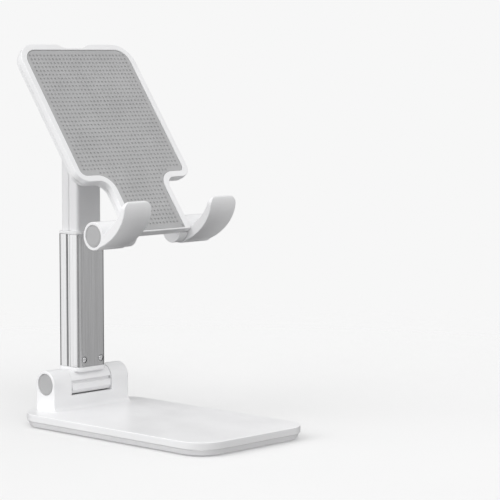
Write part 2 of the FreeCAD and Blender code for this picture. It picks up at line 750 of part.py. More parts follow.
def make_post():
    height = f"({PIVOT_Z} - {POST_BOTTOM})"
    body = rounded_bar(
        "inner_tube", "post_width", "post_depth", "post_corner", POST_BOTTOM, height, POST_Y
    )
    rounded_hollow(
        body,
        "post_width - 2 * post_wall",
        "post_depth - 2 * post_wall",
        "post_corner / 2",
        POST_BOTTOM,
        f"{height} - post_solid",
        POST_Y,
    )
    side_grooves(body, "post_width", POST_BOTTOM, height, POST_Y)
    barrel = sketch_on(body, "YZ_Plane")
    circle(barrel, "barrel_radius", PIVOT_Y, PIVOT_Z)
    pad(body, barrel, "barrel_length", centred=True)
    room = sketch_on(body, "YZ_Plane")
    circle(room, "lug_room_radius", PIVOT_Y, PIVOT_Z)
    pocket(body, room, "lug_room", centred=True)
    mouth = sketch_on(body, "YZ_Plane")
    far = "barrel_length / 3"
    wedge = [
        ("0", "0"),
        ("-8.48", "-5.3"),
        (minus(far), "0"),
        (minus(far), far),
        ("0.7 * barrel_radius", "1.73 * barrel_radius"),
    ]
    polygon(mouth, [(f"{PIVOT_Y} + {y}", f"{PIVOT_Z} + {z}") for y, z in wedge])
    pocket(body, mouth, "lug_room", centred=True)
    end = "(barrel_length / 2)"
    bore(body, "tilt_pin_radius + press_gap", minus(end), end, PIVOT_Y, PIVOT_Z)
    for radius, depth in (
        ("tilt_head_radius + head_gap", "tilt_recess"),
        ("tilt_cap_radius + cap_gap", "(tilt_cap_thickness + cap_gap)"),
    ):
        bore(body, radius, minus(end), f"{depth} - {end}", PIVOT_Y, PIVOT_Z)
        bore(body, radius, f"{end} - {depth}", end, PIVOT_Y, PIVOT_Z)
    node(body, "inner_tube")


def make_post_hardware():
    at = {"y": PIVOT_Y, "z": PIVOT_Z}
    end = "(barrel_length / 2)"
    inner = "(tilt_recess - 0.1)"
    outer = f"({inner} - 2)"
    shaft = rod("tilt_shaft", "tilt_pin_radius", f"{inner} - {end}", f"{end} - {outer} + 0.4", **at)
    head = rod("tilt_head", "tilt_head_radius", f"{outer} - {end}", f"{inner} - {end}", **at)
    node(fuse("tilt_pin_body", [shaft, head]), "tilt_pin")
    nut_from = f"{end} - {inner}"
    nut_to = f"{end} - {outer}"
    hole = "tilt_pin_radius + press_gap"
    nut = hex_nut("tilt_nut_body", "tilt_head_radius", hole, nut_from, nut_to, **at)
    node(nut, "tilt_nut")
    face = f"({end} - tilt_cap_thickness)"
    node(rod("tilt_disc_left", "tilt_cap_radius", minus(end), minus(face), **at), "tilt_cap_left")
    node(rod("tilt_disc_right", "tilt_cap_radius", face, end, **at), "tilt_cap_right")
    strip = new_body("slide_friction_strip")
    sketch = sketch_on(strip, "XY_Plane", POST_BOTTOM)
    strip_y = f"{POST_Y} - post_depth / 2 - press_gap - strip_thickness / 2"
    rectangle(sketch, "strip_width", "strip_thickness", "0", strip_y)
    pad(strip, sketch, "strip_height")
    node(strip, "slide_friction_strip")


# The plate, drawn upright about the tilt axis: x across, y from pad to back, z up the plate


def plate_outline(inset, top="plate_top", bottom="plate_bottom"):
    """The plate's straight-sided outline, drawn in by the inset."""
    half = f"(plate_width / 2 - ({inset}))"
    neck = f"(neck_width / 2 - ({inset}))"
    high = f"({top} - ({inset}))"
    shoulder = f"-(plate_shoulder - ({inset}))"
    low = minus(bottom)
    right = [(neck, low), (neck, shoulder), (half, shoulder), (half, high)]
    left = [(minus(across), up) for across, up in reversed(right)]
    return right + left


def round_plate(body, inset, depth):
    """Rounds the outline's upright corners, whose edges run from front to back."""
    half = number(f"plate_width / 2 - ({inset})")
    neck = number(f"neck_width / 2 - ({inset})")
    high = number(f"plate_top - ({inset})")
    shoulder = -number(f"plate_shoulder - ({inset})")
    for across, up, radius in (
        (half, high, f"plate_corner - ({inset})"),
        (half, shoulder, f"shoulder_corner - ({inset})"),
        (neck, shoulder, f"neck_corner + ({inset})"),
    ):
        soften(body, [(side * across, depth, up) for side in (-1, 1)], radius)


def plate_blank(name, inset, bottom, front, thickness):
    """A rounded slab of the plate's outline, its front face a distance in front of the tilt axis."""
    body = new_body(name)
    sketch = sketch_on(body, "XZ_Plane", f"{front} - ({thickness})")
    polygon(sketch, plate_outline(inset, bottom=bottom))
    pad(body, sketch, thickness)
    round_plate(body, inset, -number(f"{front} - ({thickness}) / 2"))
    return body


def cut_notch(body, front, thickness):
    """The shallow finger notch in the top edge, with sloping ends."""
    sketch = sketch_on(body, "XZ_Plane", f"{front} + 1")
    low = "(plate_top - notch_depth)"
    wide = "(notch_width / 2)"
    narrow = "(notch_width / 2 - notch_slope)"
    high = "(plate_top + 1)"
    polygon(sketch, [(minus(narrow), low), (narrow, low), (wide, high), (minus(wide), high)])
    pocket(body, sketch, f"{thickness} + 2")


def make_front_frame():
    body = plate_blank("front_frame", "0", "plate_bottom", FRAME_FRONT, "frame_depth")
    cut_notch(body, FRAME_FRONT, "frame_depth")
    recess = sketch_on(body, "XZ_Plane", FRAME_FRONT)
    polygon(recess, plate_outline("frame_border", bottom="(plate_bottom - pad_overhang)"))
    pocket(body, recess, "frame_proud + pad_thickness")
    round_plate(body, "frame_border", -number(f"{FRAME_FRONT} - (frame_proud + pad_thickness) / 2"))
    holes = sketch_on(body, "XZ_Plane", "pad_face")
    heads = sketch_on(body, "XZ_Plane", "pad_face - pad_thickness")
    for across, up in plate_screw_spots():
        circle(holes, "plate_shaft_radius", across, up)
        circle(heads, "plate_head_radius", across, up)
    pocket(body, holes, "frame_depth + 1")
    pocket(body, heads, "plate_head_recess")
    node(body, "front_frame", on_plate=True)


def plate_screw_spots():
    return [
        (f"{side} * plate_screw_x", up)
        for side in (-1, 1)
        for up in ("plate_screw_high", "-plate_screw_low")
    ]


def make_pad():
    low = "(plate_bottom - pad_overhang - fit_gap)"
    body = plate_blank("silicone_pad", "frame_border + fit_gap", low, "pad_face", "pad_thickness")
    node(body, "silicone_pad", on_plate=True)


def make_back_shell():
    thickness = f"({FRAME_BACK} - shell_back)"
    body = plate_blank("back_shell", "shell_step", "(plate_bottom - shell_step)", FRAME_BACK, thickness)
    base = body.Tip
    back = -number("shell_back")
    rim = [
        f"Edge{count}"
        for count, edge in enumerate(base.Shape.Edges, start=1)
        if abs(edge.BoundBox.YMin - back) < 0.001 and abs(edge.BoundBox.YMax - back) < 0.001
    ]
    slope = body.newObject("PartDesign::Chamfer", "back_shell_slope")
    slope.Base = (base, rim)
    bind(slope, "Size", "shell_chamfer")
    doc.recompute()
    cut_notch(body, FRAME_BACK, thickness)
    add_fairing(body)
    add_lug(body)
    add_hook_collars(body)
    hollow = sketch_on(body, "XZ_Plane", FRAME_BACK)
    polygon(hollow, plate_outline("hollow_inset", bottom="(plate_bottom - hollow_rise)"))
    pocket(body, hollow, "hollow_depth")
    bosses = sketch_on(body, "XZ_Plane", f"{FRAME_BACK} - plate_boss_depth")
    for across, up in plate_screw_spots():
        circle(bosses, "boss_radius", across, up)
    pad(body, bosses, "plate_boss_depth")
    threads = sketch_on(body, "XZ_Plane", FRAME_BACK)
    for across, up in plate_screw_spots():
        circle(threads, "thread_radius - 0.05", across, up)
    pocket(body, threads, "plate_boss_depth + 0.2")
    node(body, "back_shell", on_plate=True)


def add_fairing(body):
    """The wedge on the plate's back that overhangs the cross barrel, hollowed to clear it."""
    wedge = sketch_on(body, "YZ_Plane")
    polygon(
        wedge,
        [
            ("-(shell_back + 1)", "18"),
            ("-shell_back", "17"),
            ("-2.4", "9.4"),
            ("-1.2", "8.2"),
            ("-0.6", "7.2"),
            ("-0.6", "5.0"),
            ("-5.0", "0"),
            ("-(shell_back + 1)", "0"),
        ],
    )
    pad(body, wedge, "barrel_length", centred=True)
    clear = sketch_on(body, "YZ_Plane")
    circle(clear, "barrel_radius + 0.4")
    pocket(body, clear, "barrel_length + 1", centred=True)


def add_lug(body):
    """The lug inside the cross barrel, with the web that joins it to the plate."""
    knuckle = sketch_on(body, "YZ_Plane")
    circle(knuckle, "lug_radius")
    pad(body, knuckle, "lug_width", centred=True)
    web = sketch_on(body, "YZ_Plane")
    inside = "-(shell_back + 1)"
    high = "web_thickness / 2"
    polygon(web, [(inside, minus(high)), ("0", minus(high)), ("0", high), (inside, high)])
    pad(body, web, "lug_width", centred=True)
    bore(body, "tilt_pin_radius + running_gap", minus("lug_width / 2"), "lug_width / 2")


def add_hook_collars(body):
    for start, end in (("collar_inner", "collar_outer"), ("-collar_outer", "-collar_inner")):
        collar = sketch_on(body, "YZ_Plane", start)
        circle(collar, "hook_collar_radius", "-hook_forward", "-hook_drop")
        pad(body, collar, f"({end}) - ({start})")
    flat = sketch_on(body, "XZ_Plane", f"{FRAME_FRONT} + 1")
    cut_height = "(2.5 * hook_radius)"
    rectangle(flat, "2 * collar_outer + 1", cut_height, "0", f"{cut_height} / 2 - plate_bottom - 0.1")
    pocket(body, flat, "frame_depth + 1")
    for start, end in (
        ("-collar_outer", "-collar_inner - pin_end"),
        ("collar_inner + pin_end", "collar_outer"),
    ):
        bore(body, "hook_pin_radius + press_gap", start, end, "-hook_forward", "-hook_drop")


def make_plate_screws():
    screws = []
    for i, (across, up) in enumerate(plate_screw_spots()):
        top = "-(pad_face - pad_thickness)"
        start = f"{top} + press_gap"
        seat = f"{top} + plate_head_recess"
        tip = f"{seat} + plate_screw_length"
        head = deep_rod(f"plate_screw_head_{i}", "plate_head_radius - 0.1", start, seat, across, up)
        shank = deep_rod(f"plate_screw_shank_{i}", "thread_radius - 0.07", seat, tip, across, up)
        screws.append(fuse(f"plate_screw_{i}", [head, shank]))
    node(group("plate_screw_group", screws), "plate_screws", on_plate=True)


def make_tilt_washers():
    half = "(lug_width / 2)"
    hole = "tilt_pin_radius + running_gap"
    washers = [
        ring(f"tilt_washer_{i}", "tilt_washer_radius", hole, start, f"{start} + washer_thickness")
        for i, start in enumerate((f"-{half} - washer_thickness", half))
    ]
    node(group("tilt_washer_group", washers), "tilt_washers", on_plate=True)


# The hooks, their pins and caps


def hook_profile():
    """The J seen from the side, from the barrel out along the floor to the lip and back, in y and z."""
    under = "(hook_floor + hook_thickness)"
    corners = [
        ("0", "-hook_radius"),
        ("3.0", f"-({under} - 0.1)"),
        ("0.5 * hook_reach", f"-{under}"),
        ("0.67 * hook_reach", f"-0.84 * {under}"),
        ("0.85 * hook_reach", f"-0.39 * {under}"),
        ("hook_reach", "0.6 * hook_lip_rise"),
        ("0.955 * hook_reach", "hook_lip_rise"),
        ("0.88 * hook_reach", "0.3 * hook_lip_rise"),
        ("0.74 * hook_reach", "-0.32 * hook_floor"),
        ("0.62 * hook_reach", "-0.8 * hook_floor"),
        ("0.28 * hook_reach", "-hook_floor"),
        ("0", "-0.8 * hook_floor"),
    ]
    return [(f"-(hook_forward + {out})", f"-hook_drop + {up}") for out, up in corners]


def make_hook(side, start, end, shoulder_from, shoulder_to, cap_from, cap_to):
    body = new_body(f"hook_{side}")
    barrel = sketch_on(body, "YZ_Plane", start)
    circle(barrel, "hook_radius", "-hook_forward", "-hook_drop")
    pad(body, barrel, f"({end}) - ({start})")
    profile = sketch_on(body, "YZ_Plane", start)
    polygon(profile, hook_profile())
    pad(body, profile, f"({end}) - ({start})")
    tip_y = -number("hook_forward + 0.9775 * hook_reach")
    tip_z = number("-hook_drop + 0.8 * hook_lip_rise")
    soften(body, [(number(start), tip_y, tip_z), (number(end), tip_y, tip_z)], "hook_lip_corner")
    at = ("-hook_forward", "-hook_drop")
    bore(body, "hook_pin_radius + running_gap", start, end, *at)
    bore(body, "hook_head_radius + head_gap + 0.1", shoulder_from, shoulder_to, *at)
    bore(body, "cap_radius", cap_from, cap_to, *at)
    node(body, f"hook_{side}", on_plate=True)


def make_hooks():
    shoulder = "(hook_outer - shoulder_depth)"
    seat = "(hook_outer - cap_thickness - cap_gap)"
    make_hook("right", "hook_inner", "hook_outer", shoulder, "hook_outer", seat, "hook_outer")
    make_hook(
        "left", "-hook_outer", "-hook_inner", "-hook_outer", minus(shoulder), "-hook_outer", minus(seat)
    )
    at = {"y": "-hook_forward", "z": "-hook_drop"}
    washer_end = f"({shoulder} + 0.05 + hook_washer_thickness)"
    head_start = f"({washer_end} + 0.05)"
    head_end = f"({head_start} + hook_head_length)"
    pins = []
    washers = []
    for side, shaft, head, washer in (
        (
            "right",
            ("collar_inner + pin_end", head_start),
            (head_start, head_end),
            (f"{shoulder} + 0.05", washer_end),
        ),
        (
            "left",
            (minus(head_start), "-collar_inner - pin_end"),
            (minus(head_end), minus(head_start)),
            (minus(washer_end), f"-{shoulder} - 0.05"),
        ),
    ):
        shaft = rod(f"hook_shaft_{side}", "hook_pin_radius", *shaft, **at)
        head = rod(f"hook_head_{side}", "hook_head_radius", *head, **at)
        pins.append(fuse(f"hook_pin_{side}", [shaft, head]))
        washers.append(
            ring(f"hook_washer_{side}", "hook_head_radius", "hook_pin_radius + running_gap", *washer, **at)
        )
    node(group("hook_pin_group", pins), "hook_pins", on_plate=True)
    node(group("hook_washer_group", washers), "hook_washers", on_plate=True)
    radius = "cap_radius - 0.05"
    left_cap = rod("hook_disc_left", radius, "-hook_outer", "-hook_outer + cap_thickness", **at)
    right_cap = rod("hook_disc_right", radius, "hook_outer - cap_thickness", "hook_outer", **at)
    node(group("hook_cap_left_group", [left_cap]), "hook_cap_left", on_plate=True)
    node(group("hook_cap_right_group", [right_cap]), "hook_cap_right", on_plate=True)


def check_and_write():
    doc.recompute()
    for item in doc.Objects:
        if "Invalid" in item.State or "Error" in item.State:
            raise RuntimeError(f"{item.Name} failed: {item.State}")
    os.makedirs("parts", exist_ok=True)
    for item in NODES:
        if item.Shape.isNull() or not item.Shape.isValid():
            raise RuntimeError(f"{item.Label} has a bad shape")
        item.Shape.exportStep(f"parts/{item.Label}.step")
        box = item.Shape.BoundBox
        print(
            f"{item.Label}: {len(item.Shape.Solids)} solid(s), {item.Shape.Volume:.1f} mm3,"
            f" x {box.XMin:.2f}..{box.XMax:.2f}, y {box.YMin:.2f}..{box.YMax:.2f},"
            f" z {box.ZMin:.2f}..{box.ZMax:.2f}"
        )


make_base_shell()
make_base_inside()
make_base_hinge()
make_lower_knuckle()
make_sleeve()
make_sleeve_screws()
make_collar()
make_post()
make_post_hardware()
make_front_frame()
make_pad()
make_back_shell()
make_plate_screws()
make_tilt_washers()
make_hooks()
check_and_write()
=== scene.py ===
import json
import math

import bmesh
import bpy
from mathutils import Matrix, Vector, geometry


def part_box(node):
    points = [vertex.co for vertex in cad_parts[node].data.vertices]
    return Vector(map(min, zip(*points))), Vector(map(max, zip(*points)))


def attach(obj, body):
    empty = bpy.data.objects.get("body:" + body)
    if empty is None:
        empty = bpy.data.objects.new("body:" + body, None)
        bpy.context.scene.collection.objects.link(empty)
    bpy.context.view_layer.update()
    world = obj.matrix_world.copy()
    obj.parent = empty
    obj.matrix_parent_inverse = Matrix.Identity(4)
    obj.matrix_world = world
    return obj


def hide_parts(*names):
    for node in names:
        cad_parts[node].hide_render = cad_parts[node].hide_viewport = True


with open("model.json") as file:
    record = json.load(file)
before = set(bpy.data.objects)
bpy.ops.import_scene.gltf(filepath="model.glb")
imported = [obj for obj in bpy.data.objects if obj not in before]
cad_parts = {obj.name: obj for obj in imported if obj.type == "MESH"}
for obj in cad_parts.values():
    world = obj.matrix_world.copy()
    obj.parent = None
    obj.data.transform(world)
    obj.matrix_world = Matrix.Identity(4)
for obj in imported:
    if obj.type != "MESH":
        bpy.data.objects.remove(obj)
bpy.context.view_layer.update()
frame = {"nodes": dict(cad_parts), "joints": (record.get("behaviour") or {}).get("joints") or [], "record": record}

# The looks of a folding phone stand. Shapes are drawn in millimetres in the CAD frame: +x to the right of
# somebody facing the pad, +y to the back, +z up. What sits on the leaning plate is drawn about the tilt axis
# with the plate upright: x across, y from the pad to the back, z up the plate.

MM = 0.001
HERE = Matrix.Identity(4)


# Places taken from the frame, and the sizes that go with them


def joint_spot(name):
    joint = next(j for j in frame["joints"] if j["name"] == name)
    return Vector(joint["pos_m"]) / MM


def node_box(name):
    low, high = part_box(name)
    return low / MM, high / MM


HINGE = joint_spot("base_fold")
TILT = joint_spot("plate_tilt")
HOOK = joint_spot("left_hook_fold")

# The hooks' axis on the plate, down from the tilt axis and towards the pad
HOOK_DROP = 63.8
HOOK_FORWARD = 4.96
LEAN = math.atan2(TILT.y - HOOK.y, TILT.z - HOOK.z) - math.atan2(HOOK_FORWARD, HOOK_DROP)
ON_PLATE = Matrix.Translation(TILT * MM) @ Matrix.Rotation(-LEAN, 4, "X")

BASE_LOW, BASE_HIGH = node_box("base_shell")
BASE_WIDTH = BASE_HIGH.x - BASE_LOW.x
BASE_LENGTH = BASE_HIGH.y - BASE_LOW.y
HINGE_RISE = 10.75
BASE_TOP = HINGE.z - HINGE_RISE
BASE_CORNER = 11.3
EAR_RADIUS = BASE_HIGH.z - HINGE.z
CAP_RADIUS = 4.4
CAP_DEPTH = 1.2
EAR_OUTSIDE = node_box("base_cap_right")[1].x
EAR_INSIDE = 11.15

SLEEVE_LOW, SLEEVE_HIGH = node_box("outer_tube")
SLEEVE_MIDDLE = (SLEEVE_LOW + SLEEVE_HIGH) / 2
SLEEVE_SIZE = SLEEVE_HIGH - SLEEVE_LOW
SLEEVE_CORNER = 2.5
COLLAR_TOP = node_box("tube_collar")[1].z
POST_BOTTOM = node_box("inner_tube")[0].z
POST_WIDTH = SLEEVE_SIZE.x - 2.4
POST_DEPTH = SLEEVE_SIZE.y - 2.5
POST_CORNER = 1.4
POST_Y = SLEEVE_MIDDLE.y + 0.05
SLEEVE_GROOVE = 0.7
POST_GROOVE = 0.45
SCREW_SPREAD = 4.6
SCREW_RISE = 3.05
SCREW_HOLE = 1.4
WINDOW_WIDTH = 6.6
WINDOW_HEIGHT = 1.4
WINDOW_DROP = 2.6
BARREL_HALF = node_box("inner_tube")[1].x
BARREL_RADIUS = node_box("inner_tube")[1].z - TILT.z
BARREL_DISC_RADIUS = 4.3
LUG_RADIUS = 4.15
LUG_HALF = 7.6

# Distances on the plate, towards the pad from the tilt axis and up from it
PAD_FACE = 11.07
PAD_THICKNESS = 1.2
FRAME_FRONT = 11.32
FRAME_BACK = 8.87
SHELL_BACK = 6.0
PLATE_HALF = node_box("front_frame")[1].x
PLATE_TOP = 23.6
PLATE_SHOULDER = -42.6
PLATE_BOTTOM = -67.2
NECK_HALF = 16.0
FRAME_BORDER = 2.75
NOTCH_DIP = 1.75

HOOK_INSIDE = node_box("hook_right")[0].x
HOOK_OUTSIDE = node_box("hook_right")[1].x
HOOK_RADIUS = 5.6
HOOK_REACH = 22.4


# Outlines: flat loops of points, anticlockwise


def arc(centre, radius, start, end, steps):
    """Points on an arc from one angle to another, in degrees, both ends included."""
    points = []
    for i in range(steps + 1):
        angle = math.radians(start + (end - start) * i / steps)
        points.append(Vector(centre) + radius * Vector((math.cos(angle), math.sin(angle))))
    return points


def rounded(corners, steps=6):
    """A closed loop through corners (x, y, radius), each rounded by an arc of its radius."""
    points = []
    for i, (x, y, radius) in enumerate(corners):
        here = Vector((x, y))
        back = (Vector(corners[i - 1][:2]) - here).normalized()
        ahead = (Vector(corners[(i + 1) % len(corners)][:2]) - here).normalized()
        if radius == 0:
            points.append(here)
            continue
        half = back.angle(ahead) / 2
        centre = here + (back + ahead).normalized() * radius / math.sin(half)
        first = here + back * radius / math.tan(half) - centre
        last = here + ahead * radius / math.tan(half) - centre
        start = math.atan2(first.y, first.x)
        turn = math.atan2(last.y, last.x) - start
        turn = (turn + math.pi) % (2 * math.pi) - math.pi
        for k in range(steps + 1):
            angle = start + turn * k / steps
            points.append(centre + radius * Vector((math.cos(angle), math.sin(angle))))
    return points


def rounded_rectangle(width, depth, radius, centre=(0, 0), steps=8):
    x, y = centre
    right, left = x + width / 2, x - width / 2
    back, front = y + depth / 2, y - depth / 2
    corners = [(right, front, radius), (right, back, radius), (left, back, radius), (left, front, radius)]
    return rounded(corners, steps)


def circle(centre, radius, steps=64):
    return arc(centre, radius, 0, 360, steps)[:-1]


def hexagon(centre, radius, steps):
    """A hexagon's outline as points at equal angles, its corners at the radius."""
    sixth = math.pi / 3
    points = []
    for i in range(steps):
        angle = 2 * math.pi * i / steps
        reach = radius * math.cos(sixth / 2) / math.cos(angle % sixth - sixth / 2)
        points.append(Vector(centre) + reach * Vector((math.cos(angle), math.sin(angle))))
    return points


def inset(loop, distance):
    """The loop drawn in by a distance, or out where it is negative."""
    points = []
    for i, here in enumerate(loop):
        back = (here - loop[i - 1]).normalized()
        ahead = (loop[(i + 1) % len(loop)] - here).normalized()
        first = Vector((-back.y, back.x))
        second = Vector((-ahead.y, ahead.x))
        points.append(here + (first + second) * distance / (1 + first.dot(second)))
    return points


# Ways to stand a flat outline up in space: each takes the outline's two values and a third along the axis


def along_x(a, b, t):
    return Vector((t, a, b))


def along_z(a, b, t):
    return Vector((a, b, t))


def towards_pad(a, b, t):
    """For the plate: x and z in the outline, and the distance towards the pad."""
    return Vector((a, -t, b))


def from_front(a, b, t):
    return Vector((a, t, b))


# Meshes


def lift(loop, at, stand):
    return [stand(point.x, point.y, at) for point in loop]


def stacked(rings, closed=False):
    """A solid whose skin joins rings of equal count. Its ends are capped, or joined where it is closed."""
    mesh = bmesh.new()
    made = [[mesh.verts.new(point) for point in ring] for ring in rings]
    count = len(rings[0])
    for level in range(len(rings) - (0 if closed else 1)):
        low = made[level]
        high = made[(level + 1) % len(rings)]
        for i in range(count):
            j = (i + 1) % count
            mesh.faces.new((low[i], low[j], high[j], high[i]))
    if not closed:
        mesh.faces.new(made[0][::-1])
        mesh.faces.new(made[-1])
    bmesh.ops.recalc_face_normals(mesh, faces=mesh.faces)
    return mesh


def edge_steps(radius, steps=3):
    """How far in and how far along each step of a rounded edge lies, from the end face out."""
    turns = [math.pi / 2 * k / steps for k in range(steps + 1)]
    return [(radius * (1 - math.sin(turn)), radius * (1 - math.cos(turn))) for turn in turns]


def slab(loop, low, high, stand, low_edge=0.3, high_edge=None):
    """The outline carried from low to high, with rounded edges at both ends."""
    high_edge = low_edge if high_edge is None else high_edge
    rings = []
    for inward, along in edge_steps(low_edge):
        rings.append(lift(inset(loop, inward), low + along, stand))
    for inward, along in reversed(edge_steps(high_edge)):
        rings.append(lift(inset(loop, inward), high - along, stand))
    return stacked(rings)


def turned(profile, centre, stand, steps=64):
    """A round solid from a profile of (radius, place along the axis)."""
    return stacked([lift(circle(centre, radius, steps), at, stand) for radius, at in profile])


def to_object(mesh, name):
    data = bpy.data.meshes.new(name)
    bmesh.ops.scale(mesh, vec=(MM, MM, MM), verts=mesh.verts)
    mesh.to_mesh(data)
    mesh.free()
    made = bpy.data.objects.new(name, data)
    bpy.context.scene.collection.objects.link(made)
    return made


def combine(item, tools, operation):
    """Adds the tools' solids to the item, or takes them away."""
    for mesh in tools:
        tool = to_object(mesh, "tool")
        modifier = item.modifiers.new("combine", "BOOLEAN")
        modifier.operation = operation
        modifier.solver = "EXACT"
        modifier.object = tool
        evaluated = item.evaluated_get(bpy.context.evaluated_depsgraph_get())
        shape = bpy.data.meshes.new_from_object(evaluated)
        item.modifiers.clear()
        item.data = shape
        bpy.data.objects.remove(tool)
    return item


def joined(name, meshes):
    """One object that holds several separate solids."""
    whole = bmesh.new()
    for mesh in meshes:
        part = bpy.data.meshes.new("part")
        mesh.to_mesh(part)
        mesh.free()
        whole.from_mesh(part)
        bpy.data.meshes.remove(part)
    return to_object(whole, name)


def finish(item, body, material, nodes, place=HERE, sharp=32):
    """Smooths the piece, gives it its material, ties it to its body and hides the CAD nodes it stands for."""
    item.matrix_world = place
    item.data.materials.clear()
    item.data.materials.append(material)
    item.data.shade_smooth()
    item.data.set_sharp_from_angle(angle=math.radians(sharp))
    weighted = item.modifiers.new("flat faces", "WEIGHTED_NORMAL")
    weighted.keep_sharp = True
    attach(item, body)
    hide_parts(*nodes)
    return item


# Materials: noise scales are per millimetre and relief depths are in millimetres


class Nodes:
    """A material's node tree, with short ways to add what every material here uses."""

    def __init__(self, name):
        self.material = bpy.data.materials.new(name)
        self.material.use_nodes = True
        self.tree = self.material.node_tree
        self.shader = self.tree.nodes["Principled BSDF"]

    def add(self, kind, **settings):
        node = self.tree.nodes.new("ShaderNode" + kind)
        for name, value in settings.items():
            setattr(node, name, value)
        return node

    def link(self, start, end):
        self.tree.links.new(start, end)

    def coordinates(self, stretch=(1, 1, 1)):
        """Places on the object in millimetres, stretched."""
        source = self.add("TexCoord")
        mapping = self.add("Mapping")
        mapping.inputs["Scale"].default_value = [value / MM for value in stretch]
        self.link(source.outputs["Object"], mapping.inputs["Vector"])
        return mapping.outputs["Vector"]

    def noise(self, scale, detail, stretch=(1, 1, 1)):
        texture = self.add("TexNoise")
        texture.inputs["Scale"].default_value = scale
        texture.inputs["Detail"].default_value = detail
        self.link(self.coordinates(stretch), texture.inputs["Vector"])
        return texture.outputs["Fac"]

    def spread(self, value, low, high):
        """Carries a texture's middle range to low..high."""
        change = self.add("MapRange")
        change.inputs["From Min"].default_value = 0.3
        change.inputs["From Max"].default_value = 0.7
        change.inputs["To Min"].default_value = low
        change.inputs["To Max"].default_value = high
        self.link(value, change.inputs["Value"])
        return change.outputs["Result"]

    def colour(self, value, dark, light):
        ramp = self.add("ValToRGB")
        ramp.color_ramp.elements[0].position = 0.3
        ramp.color_ramp.elements[1].position = 0.7
        ramp.color_ramp.elements[0].color = (*dark, 1)
        ramp.color_ramp.elements[1].color = (*light, 1)
        self.link(value, ramp.inputs["Fac"])
        self.link(ramp.outputs["Color"], self.shader.inputs["Base Color"])

    def bumps(self, heights):
        """Adds small relief from (texture value, depth in millimetres) pairs."""
        normal = None
        for value, depth in heights:
            bump = self.add("Bump")
            bump.inputs["Distance"].default_value = depth * MM
            self.link(value, bump.inputs["Height"])
            if normal:
                self.link(normal, bump.inputs["Normal"])
            normal = bump.outputs["Normal"]
        self.link(normal, self.shader.inputs["Normal"])


def grey(level):
    return (level, level, level * 1.01)


def moulded(name, dark, light, roughness, grain_depth):
    """Moulded plastic: a slight cloudiness, a fine spark-eroded grain and uneven gloss."""
    nodes = Nodes(name)
    nodes.colour(nodes.noise(0.05, 3), grey(dark), grey(light))
    smudges = nodes.noise(0.12, 4)
    nodes.link(nodes.spread(smudges, roughness - 0.04, roughness + 0.05), nodes.shader.inputs["Roughness"])
    nodes.bumps([(nodes.noise(3.2, 2), grain_depth), (nodes.noise(0.35, 1), grain_depth * 2)])
    nodes.shader.inputs["IOR"].default_value = 1.5
    return nodes.material


def brushed(name, dark, light, roughness):
    """Brushed metal with its lines along z, and a fine pebble between them."""
    nodes = Nodes(name)
    lines = nodes.noise(2.4, 3, stretch=(1, 1, 0.02))
    nodes.colour(lines, grey(dark), grey(light))
    nodes.link(nodes.spread(lines, roughness - 0.03, roughness + 0.03), nodes.shader.inputs["Roughness"])
    nodes.bumps([(lines, 0.0012), (nodes.noise(4.0, 2), 0.004)])
    nodes.shader.inputs["Metallic"].default_value = 1.0
    return nodes.material


def rubbery(name, dark, light):
    """Silicone: matt, with a fine skin and a soft sheen."""
    nodes = Nodes(name)
    nodes.colour(nodes.noise(0.08, 4), grey(dark), grey(light))
    nodes.link(nodes.spread(nodes.noise(1.5, 3), 0.62, 0.78), nodes.shader.inputs["Roughness"])
    nodes.bumps([(nodes.noise(5.0, 3), 0.01)])
    nodes.shader.inputs["IOR"].default_value = 1.43
    nodes.shader.inputs["Sheen Weight"].default_value = 0.15
    return nodes.material


WHITE = moulded("white_plastic", 0.83, 0.88, 0.34, 0.0015)
GREY = moulded("grey_plastic", 0.40, 0.46, 0.45, 0.002)
RUBBER = rubbery("grey_silicone", 0.41, 0.46)
METAL = brushed("brushed_sleeve", 0.60, 0.68, 0.22)
STEEL = brushed("bright_steel", 0.62, 0.72, 0.22)
MATERIALS = {
    "white_plastic": WHITE,
    "grey_plastic": GREY,
    "grey_rubber": RUBBER,
    "sleeve_metal": METAL,
    "steel": STEEL,
}


# The base


def make_base():
    """The plate with its sloping band and upright rim, the two ears and the wall between them."""
    plan = rounded_rectangle(BASE_WIDTH, BASE_LENGTH, BASE_CORNER, steps=12)
    low = BASE_LOW.z
    band_top = low + 2.35
    thickness = 1.6
    ceiling = BASE_TOP - thickness
    wall = 3.2
    levels = [
        (wall, ceiling),
        (wall, low),
        (1.8, low),
        (1.52, low + 0.07),
        (1.35, low + 0.25),
        (0.62, band_top - 0.4),
        (0.32, band_top - 0.22),
        (0.2, band_top),
        (0.0, band_top + 0.12),
    ]
    edge = 0.4
    levels += [(inward, BASE_TOP - along) for inward, along in reversed(edge_steps(edge, 4))]
    base = to_object(stacked([lift(inset(plan, inward), z, along_z) for inward, z in levels]), "base_body")
    tools = [make_ear(1), make_ear(-1), make_wall(), make_block_foot()]
    combine(base, tools, "UNION")
    finish(base, "base", WHITE, ["base_shell"])


def ear_outline():
    """The ear seen from the side, its points at equal angles about the hinge axis."""
    drop = HINGE.z - BASE_TOP + 0.5
    points = []
    count = 96
    for i in range(count):
        angle = 2 * math.pi * (i + 0.5) / count
        across, up = math.cos(angle), math.sin(angle)
        reach = EAR_RADIUS
        if up < 0:
            reach = min(EAR_RADIUS / abs(across), drop / abs(up))
        points.append(Vector((HINGE.y + reach * across, HINGE.z + reach * up)))
    return points


